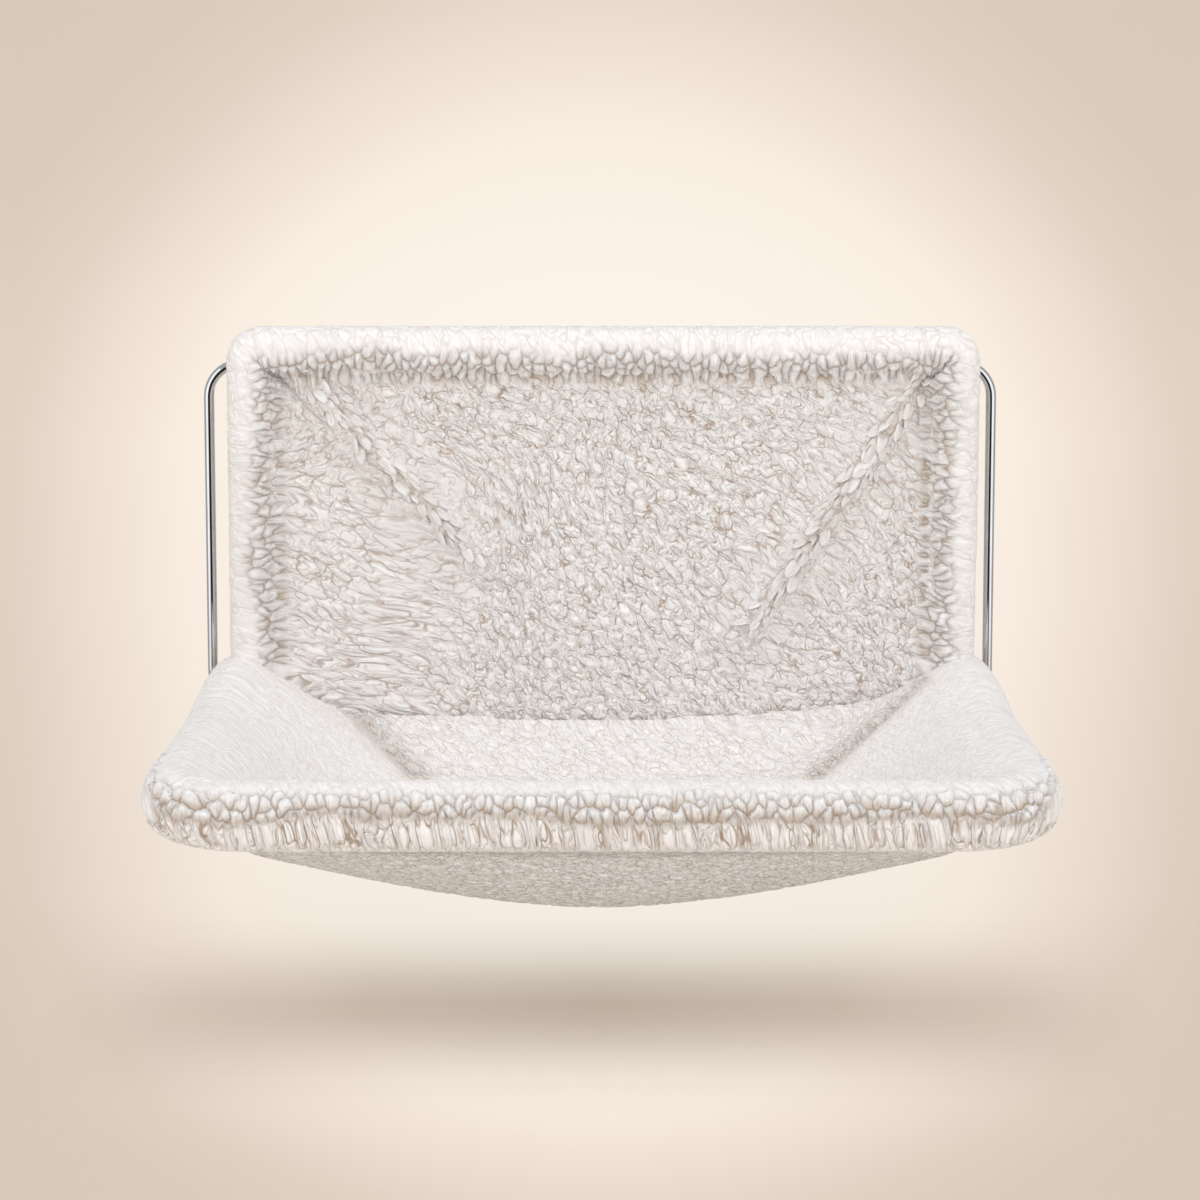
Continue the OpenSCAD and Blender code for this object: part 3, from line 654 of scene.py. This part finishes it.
def on_panel(mesh):
    """Each point's place by the hem, its parting, the ridges and the lower left corner."""
    spot = SimpleNamespace(at=points_of(mesh), normal=points_of(mesh, "normal"))
    at = spot.at
    spot.arm, spot.way, spot.run, spot.off = from_route(at, panel_route)
    spot.out = np.cross(spot.way, [0, 1.0, 0])
    spot.angle = np.degrees(np.arctan2((spot.arm * spot.out).sum(1), spot.arm @ TOWARD))
    spot.past = spot.angle - (-52 + 12 * waves(at, 0.05, 13))
    spot.hem = smooth_step(0.0165, 0.0125, spot.off)
    spot.back = (spot.normal[:, 1] > 0.3) & (spot.hem < 0.5)
    spot.low_left = smooth_step(-0.02, -0.12, at[:, 0]) * smooth_step(-0.02, -0.06, at[:, 2])
    spot.crest, spot.beside, spot.ridge_rows = np.zeros(len(at)), np.zeros(len(at)), np.zeros_like(at)
    for ends in RIDGES:
        t, side, reach = by_ridge(at, *ends)[:3]
        near, top = bell(side, RIDGE_SIDE) * reach, bell(side, RIDGE_CREST) * reach
        rows = np.stack([side, RIDGE_ROW * t, 0 * t], 1)
        spot.ridge_rows = np.where((top > spot.crest)[:, None], rows, spot.ridge_rows)
        spot.crest, spot.beside = np.maximum(spot.crest, top), np.maximum(spot.beside, near * (1 - top))
    spot.tufts = (1 - spot.hem) * smooth_step(0.35, 0.6, spot.crest) * ~spot.back
    return spot


raise_folds(panel.data)
spot = on_panel(panel.data)
print("panel: ridges on", round(100 * (spot.tufts > 0.5).mean(), 1), "% of the skin")

# %% [markdown]
# ## Combing the ridge locks
# A lock on a crest points down its ridge, and one beside it points away from the ridge and a
# little down. Further off the pile only swirls. Near the hem the comb turns to go round it.
# Size and comb are kept on the skin's points, and each lock reads them where it is planted.


# %% Combing the ridge locks
def comb_ridges(mesh, spot):
    at, hem, past = spot.at, spot.hem, spot.past
    rad = np.radians(spot.angle)[:, None]
    round_hem = np.cos(rad) * spot.out - np.sin(rad) * TOWARD
    hem_comb = np.sign(past)[:, None] * round_hem + 0.35 * waves(at, 0.035, 14)[:, None] * spot.way
    swirl = 2.0 * waves(at, 0.10, 15) + 0.7 * waves(at, 0.04, 16) - 0.6
    comb = np.stack([np.cos(swirl), 0 * swirl, np.sin(swirl)], 1)
    comb = comb + 2.0 * spot.low_left[:, None] * np.array([-1, 0, -0.15])
    for ends in RIDGES:
        side, reach, down, aside = by_ridge(at, *ends)[1:]
        near, top = bell(side, RIDGE_SIDE) * reach, bell(side, RIDGE_CREST) * reach
        away = np.sign(side)[:, None] * aside + 0.35 * down
        ridge_comb = (1 - top)[:, None] * away + 2 * top[:, None] * down
        comb = comb * (1 - near)[:, None] + 3 * near[:, None] * ridge_comb
    comb = unit(hem[:, None] * unit(hem_comb) + (1 - hem[:, None]) * unit(comb))
    strands = hem * smooth_step(-2, 14, past) * smooth_step(58, 36, past) * ~spot.back
    size = 0.0074 + 0.0004 * waves(at, 0.06, 17)
    size = np.where(strands > 0.5, 0.0094, size)
    size = np.where(spot.tufts > 0.5, 0.0098, size)
    size = np.where(spot.back, 0.0085, size)
    wide = 1 - 0.35 * spot.beside * (1 - hem)
    keep(mesh, "pile_comb", comb)
    keep(mesh, "pile_form", np.stack([wide * size, size, size * (0.55 + 0.3 * hem + 0.4 * spot.tufts)], 1))
    keep(mesh, "pile_tufts", spot.tufts)
    print("ridge locks:", round(size.min() * 1000, 1), "to", round(size.max() * 1000, 1), "mm")


comb_ridges(panel.data, spot)

# %% [markdown]
# ## The panel's nap
# The panel's creases slant down to the right, lie flat in its lower left corner, run away from
# the hem at its border and fall to both sides of the ridges. Petals stand round the inside of
# the hem, pointing away from a parting. The lay and the rows may jump only where a spot has
# no crease or petal: a jump anywhere else would draw a hard line.


# %% The panel cover's nap
PANEL_ROW = 0.0072


def lay_panel_nap(mesh, spot):
    at, hem, past, off = spot.at, spot.hem, spot.past, spot.off
    crease = np.where(spot.back, 0.6, 0.9 - 0.3 * spot.beside - 0.12 * spot.low_left)
    crease = crease * (1 - hem) + hem * (0.12 + 0.80 * smooth_step(80, 10, past))
    border = smooth_step(0.0225, 0.0180, off) * (spot.normal[:, 1] < 0.1) * smooth_step(78, 38, past)
    border = border * np.where(off > 0.0145, 1, smooth_step(-40, -16, past))
    on_crest = smooth_step(0.3, 0.75, spot.crest) * smooth_step(0.0245, 0.028, off) * ~spot.back
    petal = np.maximum(border, 0.45 * on_crest)
    # Painted shade: in the valley inside the hem, in the lower left corner, under the ridge locks, near the
    # parting and beside the ridges.
    valley = bell(off - 0.0195, 0.006) * (1 - hem) * ~spot.back
    deep = 0.08 * valley + 0.07 * spot.low_left + 0.3 * spot.tufts + 0.05 * hem * bell(past, 20)
    keep(mesh, "crease", crease)
    keep(mesh, "petal", petal)
    keep(mesh, "relief", np.clip(crease, 0.3, 1) * (1 - petal))
    keep(mesh, "deep", np.clip(deep + 0.12 * spot.beside * (1 - spot.crest), 0, 1))
    # Which way the creases lie, and the petals' rows
    lay = shortened(at, unit(np.array([0.75, 0, -0.66])), 0.36)
    lay = lay - 0.45 * (spot.low_left * (at[:, 0] + 0.12))[:, None] * np.array([1, 0, 0])
    lay = lay - along_arm(spot.arm, off, 0.55, 0.0125, 0.07, 0.02)
    for ends in RIDGES:
        _, side, reach, _, aside = by_ridge(at, *ends)
        lay = lay - RIDGE_TURN * (np.tanh(50 * side) * reach)[:, None] * aside
    rows = np.stack([spot.run, PANEL_ROW * np.radians(spot.angle), 0 * spot.run], 1)
    on_ridge = (spot.crest > 0.1) & (off > 0.0237)
    keep(mesh, "lay", lay)
    keep(mesh, "rows", np.where(on_ridge[:, None], spot.ridge_rows, rows))
    keep(mesh, "points_up", np.where(on_ridge, 1.0, np.tanh(past / 10)))
    print("panel: petals on", round(100 * (petal > 0.5).mean(), 1), "% of the skin")


lay_panel_nap(panel.data, spot)

# %% [markdown]
# ## One lock of pile
# A lock on a ridge is a little leaf: a low ball drawn out, thin, with its heel sunk in the skin
# and its tip bent over. It has only a few dozen faces, because it is repeated. It remembers how
# far along and how far across it each point lies, and its finish uses that. Three leaves with
# different bends and twists keep the pile from looking stamped.

# %% Leaves
LEAF_HALF, LEAF_THICK, TIP_BEND, TAPER, HEEL = 0.40, 0.13, 0.24, 0.15, 0.35
SWAY, HEEL_SINK, LIFTED = 0.16, 0.22, 0.03
SEGMENTS, RINGS = 8, 6


def leaf(name, tip_bend, twist):
    bm = bmesh.new()
    bmesh.ops.create_uvsphere(bm, u_segments=SEGMENTS, v_segments=RINGS, radius=1)
    bmesh.ops.rotate(bm, matrix=Matrix.Rotation(math.radians(-90), 3, "X"), verts=bm.verts)
    layers = {what: bm.verts.layers.float.new(what) for what in ("along", "across", "rim", "lock")}
    for v in bm.verts:
        along = (v.co.y + 1) / 2
        v[layers["lock"]], v[layers["along"]], v[layers["across"]] = 1, along, v.co.x
        v[layers["rim"]] = min(1.0, math.hypot(v.co.x, v.co.y)) * (1 - 0.26 * max(0.0, 2 * along - 1))
        narrow = 1 - TAPER * along**2
        turn = twist * along
        x, z = v.co.x * LEAF_HALF * narrow, v.co.z * LEAF_THICK * narrow
        drop = tip_bend * along**2 + HEEL_SINK * (1 - along)**2 - LIFTED
        v.co = Vector((x * math.cos(turn) - z * math.sin(turn) + SWAY * twist * along**2,
                       along * (1 + HEEL) - HEEL, x * math.sin(turn) + z * math.cos(turn) - drop))
    for face in bm.faces:
        face.smooth = True
    mesh = bpy.data.meshes.new(name)
    bm.to_mesh(mesh)
    bm.free()
    return bpy.data.objects.new(name, mesh)


tufts = bpy.data.collections.new("tuft")
for side, more, twist in (("mid", 0, 0.0), ("left", 0.05, 0.55), ("right", -0.05, -0.55)):
    tufts.objects.link(leaf("tuft_" + side, TIP_BEND + more, twist))

# %% [markdown]
# ## Raising the nap
# The nap is relief, not only colour. A cell pattern in `lay` says how far a spot is from the
# nearest crease, and geometry nodes sink the creases and raise what stands between them. The
# hems' petals are a flat cell pattern in `rows`: each is a small pillow, highest at its tip.
# A real fleece has both: close nap everywhere, and fuller tufts where it is bent round a hem.

# %% Nap and petals as relief
NAP_CELLS, HAIR_CELLS, CURL_SCALE, PETAL_CELLS = 160, 330, 230, 180
NAP_WANDER, PETAL_WANDER, WANDER_SCALE = 0.013, 0.0085, 130
NAP_SINK, NAP_RISE, PETAL_SINK, PETAL_RISE = -0.0009, 0.0005, -0.0014, 0.0017
LOCK_GAP, LOCK_SCALE, DISORDER, LIFT, SEED = 0.0040, 0.9, math.radians(15), 11, 50


def wander(tree, place, lay, reach):
    """The place moved about by a noise read at lay, so that no edge runs straight."""
    random = add(tree, "ShaderNodeTexNoise", {"Vector": lay, "Scale": WANDER_SCALE, "Detail": 1.5})
    centred = shift(tree, "SUBTRACT", random.outputs["Color"], (0.5, 0.5, 0.5))
    return shift(tree, "ADD", place, scaled(tree, centred, reach))


def cell_edge(tree, place, scale, dimensions="3D"):
    return add(tree, "ShaderNodeTexVoronoi", {"Vector": place, "Scale": scale}, feature="DISTANCE_TO_EDGE",
               voronoi_dimensions=dimensions).outputs["Distance"]


def creases(tree, lay):
    """The distance from the nearest crease in a coarse, a fine and a curling pattern."""
    bent = wander(tree, lay, lay, NAP_WANDER)
    level = noise(tree, bent, CURL_SCALE, 0.5)
    curl = maths(tree, "ABSOLUTE", maths(tree, "SUBTRACT", level, 0.5), 0)
    return cell_edge(tree, bent, NAP_CELLS), cell_edge(tree, bent, HAIR_CELLS), curl


def petals(tree, rows, lay, points_up):
    """Petals in rows: the distance to an edge, 0 at a root to 1 at a tip, and the bent place."""
    bent = wander(tree, rows, lay, PETAL_WANDER)
    edge = cell_edge(tree, bent, PETAL_CELLS, "2D")
    middle = add(tree, "ShaderNodeTexVoronoi", {"Vector": bent, "Scale": PETAL_CELLS},
                 voronoi_dimensions="2D")
    local = shift(tree, "SUBTRACT", bent, middle.outputs["Position"])
    local = add(tree, "ShaderNodeSeparateXYZ", {"Vector": local}).outputs["Y"]
    return edge, stretch(tree, maths(tree, "MULTIPLY", local, points_up), -0.0030, 0.0028), bent


def petal_height(tree, edge, tip):
    pillow = stretch(tree, edge, 0, 0.24, way="SMOOTHSTEP")
    return maths(tree, "MULTIPLY", pillow, maths(tree, "ADD", maths(tree, "MULTIPLY", tip, 0.65), 0.35))


def field(group, name, kind="FLOAT"):
    return add(group, "GeometryNodeInputNamedAttribute", {"Name": name}, data_type=kind).outputs["Attribute"]


def chance(group, low, high, seed):
    return add(group, "FunctionNodeRandomValue", {2: low, 3: high, "Seed": seed},
               data_type="FLOAT").outputs[1]


def raise_nap(group, bare):
    lay, rows = field(group, "lay", "FLOAT_VECTOR"), field(group, "rows", "FLOAT_VECTOR")
    nap = stretch(group, creases(group, lay)[0], 0, 0.3, NAP_SINK, NAP_RISE, "SMOOTHSTEP")
    petal = petal_height(group, *petals(group, rows, lay, field(group, "points_up"))[:2])
    petal = stretch(group, petal, 0, 1, PETAL_SINK, PETAL_RISE)
    height = maths(group, "ADD", maths(group, "MULTIPLY", nap, field(group, "relief")),
                   maths(group, "MULTIPLY", petal, field(group, "petal")))
    offset = scaled(group, add(group, "GeometryNodeInputNormal").outputs[0], height)
    return add(group, "GeometryNodeSetPosition", {"Geometry": bare, "Offset": offset}).outputs[0]

# %% [markdown]
# ## Planting the locks
# Points no closer than a set distance each take one of the three leaves at random. A leaf
# stands along the skin's normal, its length turned the way the skin is combed, and then tips,
# rolls and yaws a little by chance. Joined to the skin and made plain, nothing stays live.


# %% Planting the locks
def plant(group, bare, bunch):
    kinds = add(group, "GeometryNodeCollectionInfo",
                {"Collection": bunch, "Separate Children": True, "Reset Children": True}).outputs[0]
    spread = add(group, "GeometryNodeDistributePointsOnFaces",
                 {"Mesh": bare, "Distance Min": LOCK_GAP, "Density Max": 2.2 / LOCK_GAP**2,
                  "Density Factor": field(group, "pile_tufts"), "Seed": SEED}, distribute_method="POISSON")
    comb = field(group, "pile_comb", "FLOAT_VECTOR")
    upright = add(group, "FunctionNodeAxesToRotation",
                  {"Primary Axis": spread.outputs["Normal"], "Secondary Axis": comb},
                  primary_axis="Z", secondary_axis="Y").outputs[0]
    turn = add(group, "ShaderNodeCombineXYZ", {
        "X": chance(group, math.radians(LIFT - 5), math.radians(LIFT + 5), SEED + 1),
        "Y": chance(group, -0.25, 0.25, SEED + 2),
        "Z": chance(group, -DISORDER, DISORDER, SEED + 3)}).outputs[0]
    turn = add(group, "FunctionNodeEulerToRotation", {"Euler": turn}).outputs[0]
    lying = add(group, "FunctionNodeRotateRotation", {"Rotation": upright, "Rotate By": turn},
                rotation_space="LOCAL").outputs[0]
    size = scaled(group, field(group, "pile_form", "FLOAT_VECTOR"),
                  chance(group, 0.8 * LOCK_SCALE, 1.25 * LOCK_SCALE, SEED + 4))
    which = add(group, "FunctionNodeRandomValue", {4: 0, 5: len(bunch.objects) - 1},
                data_type="INT").outputs[2]
    planted = add(group, "GeometryNodeInstanceOnPoints",
                  {"Points": spread.outputs["Points"], "Instance": kinds, "Pick Instance": True,
                   "Instance Index": which, "Rotation": lying, "Scale": size}).outputs[0]
    tinted = add(group, "GeometryNodeStoreNamedAttribute",
                 {"Geometry": planted, "Name": "tint", "Value": chance(group, 0, 1, SEED + 5)},
                 data_type="FLOAT", domain="INSTANCE").outputs[0]
    return add(group, "GeometryNodeRealizeInstances", {"Geometry": tinted}).outputs[0]


def grow_pile(skin, bunch=None):
    group = bpy.data.node_groups.new("pile_on_" + skin.name, "GeometryNodeTree")
    group.interface.new_socket("Skin", in_out="INPUT", socket_type="NodeSocketGeometry")
    group.interface.new_socket("Cover", in_out="OUTPUT", socket_type="NodeSocketGeometry")
    bare = raise_nap(group, group.nodes.new("NodeGroupInput").outputs[0])
    together = add(group, "GeometryNodeJoinGeometry", {0: bare})
    if bunch:
        plug(group, together, {0: plant(group, bare, bunch)})
    add(group, "NodeGroupOutput", {0: together.outputs[0]})
    denser = skin.modifiers.new("denser", "SUBSURF")
    denser.levels = denser.render_levels = 1
    grown = skin.modifiers.new("pile", "NODES")
    grown.node_group = group
    mesh = made_mesh(skin)
    skin.modifiers.clear()
    bpy.data.node_groups.remove(group)
    skin.data = mesh
    mesh.polygons.foreach_set("use_smooth", np.ones(len(mesh.polygons), bool))
    for name in [a.name for a in mesh.attributes if a.name.startswith("pile_")]:
        mesh.attributes.remove(mesh.attributes[name])
    print(skin.name, "triangles:", sum(len(p.vertices) - 2 for p in mesh.polygons))


grow_pile(seat)
grow_pile(panel, tufts)
for each in list(tufts.objects):
    bpy.data.objects.remove(each)
bpy.data.collections.remove(tufts)

# %% [markdown]
# ## The ridge locks' finish
# A lock is off-white at its tip. At its root and round its rim it is painted a warmer, darker brown-grey as
# shade, where light hardly reaches, and a band just inside the rim is a painted highlight. Fine strands run
# along it. Both read the lock's own attributes, so they follow every leaf.

# %% Fleece finish: the ridge locks
# The brown-grey that painted shade darkens the fleece towards.
PAINTED_SHADE_TONE = (0.42, 0.335, 0.265, 1)
finish, tree, shader = new_finish("fleece")


def own(name, output="Fac"):
    return add(tree, "ShaderNodeAttribute", attribute_name=name).outputs[output]


strand_place = add(tree, "ShaderNodeCombineXYZ", {
    "X": maths(tree, "MULTIPLY", own("across"), 3.2), "Y": maths(tree, "MULTIPLY", own("along"), 1.1),
    "Z": maths(tree, "MULTIPLY", own("tint"), 60)}).outputs[0]
strands = add(tree, "ShaderNodeTexNoise",
              {"Vector": strand_place, "Scale": 1, "Detail": 3, "Roughness": 0.6}).outputs["Fac"]
# Painted shade on the leaf's outline, and a painted highlight in a band just inside it.
rim = ramp(tree, own("rim"), [
    (0.0, (0.80, 0.76, 0.73)), (0.3, (0.85, 0.83, 0.815)), (0.56, (0.90, 0.89, 0.885)),
    (0.72, (0.95, 0.948, 0.948)), (0.84, (0.88, 0.85, 0.83)), (0.93, (0.55, 0.46, 0.40)),
    (1.0, (0.40, 0.32, 0.26))])
# Both tones below get painted shade towards the root.
root = ramp(tree, own("along"), [(0.1, (0.66, 0.59, 0.54)), (0.40, 1.0)])
fair = ramp(tree, own("along"), [(0.1, (0.76, 0.70, 0.65)), (0.5, (0.90, 0.893, 0.895))])
lock_tone = mix(tree, own("crease"), fair, mix(tree, 1, rim, root, "MULTIPLY"))
tint = ramp(tree, own("tint"), [(0.0, (0.93, 0.915, 0.90)), (1.0, 1.0)])
streak = ramp(tree, strands, [(0.36, (0.86, 0.83, 0.81)), (0.55, 1.0)])
lock_tone = mix(tree, 1, mix(tree, 1, lock_tone, tint, "MULTIPLY"), streak, "MULTIPLY")
print("ridge locks: finish of", len(tree.nodes), "nodes")

# %% [markdown]
# ## The nap's finish
# Between the locks the fleece is off-white, with thin brown lines of painted shade in its creases. Coarse and
# fine creases show in some patches and curling ones in the others, so the pattern never looks like one net.
# The edges beside a crease get a painted highlight. The same patterns, as heights, give the smallest relief
# as bump.

# %% Fleece finish: the nap
lay = own("lay", "Vector")
coarse, fine, curl = creases(tree, lay)
patches = noise(tree, lay, 190, 2)
line = ramp(tree, coarse, [(0.0, 1.0), (0.03, 0.75), (0.075, 0.0)])
hair = ramp(tree, fine, [(0.0, 0.62), (0.045, 0.35), (0.10, 0.0)])
curled = ramp(tree, curl, [(0.0, 0.8), (0.012, 0.5), (0.03, 0.0)])
painted_crease_shade = maths(tree, "MAXIMUM",
             maths(tree, "MULTIPLY", maths(tree, "MAXIMUM", line, hair), stretch(tree, patches, 0.38, 0.58)),
             maths(tree, "MULTIPLY", curled, stretch(tree, patches, 0.62, 0.42)))
# A painted highlight on the edges beside a coarse crease.
lit_rim = ramp(tree, coarse, [(0.07, 0.0), (0.12, 1.0), (0.24, 0.0)])
ground = mix(tree, lit_rim, (0.89, 0.862, 0.850, 1), (0.955, 0.946, 0.942, 1))
# Painted shade: brown lines in the creases, and a darker tone where the skin asks for painted shade.
nap = mix(tree, maths(tree, "MULTIPLY", painted_crease_shade, own("crease")), mix(tree, own("deep"), ground, PAINTED_SHADE_TONE),
          (0.365, 0.265, 0.185, 1))
swell = maths(tree, "ADD", ramp(tree, coarse, [(0.0, 0.0), (0.25, 0.8), (0.5, 1.0)], "EASE"),
              ramp(tree, fine, [(0.0, 0.0), (0.3, 0.35)], "EASE"))
swell = maths(tree, "ADD", swell, ramp(tree, curl, [(0.0, 0.0), (0.09, 0.4)], "EASE"))
nap_height = maths(tree, "MULTIPLY", swell,
                   maths(tree, "ADD", maths(tree, "MULTIPLY", own("crease"), 0.7), 0.3))
print("with the nap:", len(tree.nodes), "nodes")

# %% [markdown]
# ## The petals' finish
# A petal is painted brown-grey at its root, as shade where the next one covers it, and is nearly white at its
# tip. Fine threads run its long way, and a brown gap of painted shade lies between two petals. Where the pile
# is calm they fade to one pale tone. A little sheen over the whole fleece stands in for the loose fibres that
# catch the light.

# %% Fleece finish: the petals, and the whole
edge, tip, bent = petals(tree, own("rows", "Vector"), lay, own("points_up"))
long_way = add(tree, "ShaderNodeMapping", {"Vector": bent, "Scale": (1, 0.3, 1)}).outputs[0]
threads = noise(tree, long_way, 900, 2)
# Painted shade in the gap between petals, strongest at a root, under the next petal's tip.
gap = ramp(tree, edge, [(0.0, 1.0), (0.04, 0.8), (0.12, 0.0)])
gap = maths(tree, "MULTIPLY", gap, maths(tree, "SUBTRACT", 1, maths(tree, "MULTIPLY", tip, 0.6)))
gap = maths(tree, "MULTIPLY", maths(tree, "MULTIPLY", gap, own("crease")), 0.95)
# Painted shade towards a petal's root, where the next one covers it.
body = ramp(tree, tip, [(0.0, (0.61, 0.53, 0.46)), (0.3, (0.79, 0.755, 0.73)), (0.65, (0.88, 0.87, 0.865)),
                        (1.0, (0.925, 0.922, 0.925))])
body = mix(tree, 1, body, ramp(tree, threads, [(0.38, (0.80, 0.765, 0.74)), (0.56, 1.0)]), "MULTIPLY")
body = mix(tree, own("crease"), (0.88, 0.875, 0.88, 1), body)
# The skin's painted shade darkens the petals as well.
body = mix(tree, own("deep"), body, PAINTED_SHADE_TONE)
petal_tone = mix(tree, gap, body, (0.35, 0.258, 0.182, 1))
grain = maths(tree, "ADD", maths(tree, "MULTIPLY", petal_height(tree, edge, tip), 1.3),
              maths(tree, "MULTIPLY", threads, 0.8))
skin_tone = mix(tree, own("petal"), nap, petal_tone)
skin_height = mix_levels(tree, own("petal"), nap_height, grain)
plug(tree, shader, {"Base Color": mix(tree, own("lock"), skin_tone, lock_tone), "Roughness": 0.85,
                    "Specular IOR Level": 0.2, "Sheen Weight": 0.25, "Sheen Roughness": 0.5})
dent(tree, shader, mix_levels(tree, own("lock"), skin_height, strands), 0.95, 0.0009)
for cover in (seat, panel):
    cover.data.materials.clear()
    cover.data.materials.append(finish)
print("whole fleece:", len(tree.nodes), "nodes")

# %% [markdown]
# ## Bodies and hidden CAD pieces
# Each cover rides on the bed's body, and the CAD pieces that it stands in for are hidden.
# Both covers are stretched over the bed's own frame, so they ride on it without bending.

# %% Bodies and hidden CAD pieces
for cover, stands_for in ((seat, ("front_hem", "side_hem_left", "side_hem_right", "seat_sling")),
                          (panel, ("panel_hem", "back_panel"))):
    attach(cover, "bed")
    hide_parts(*stands_for)
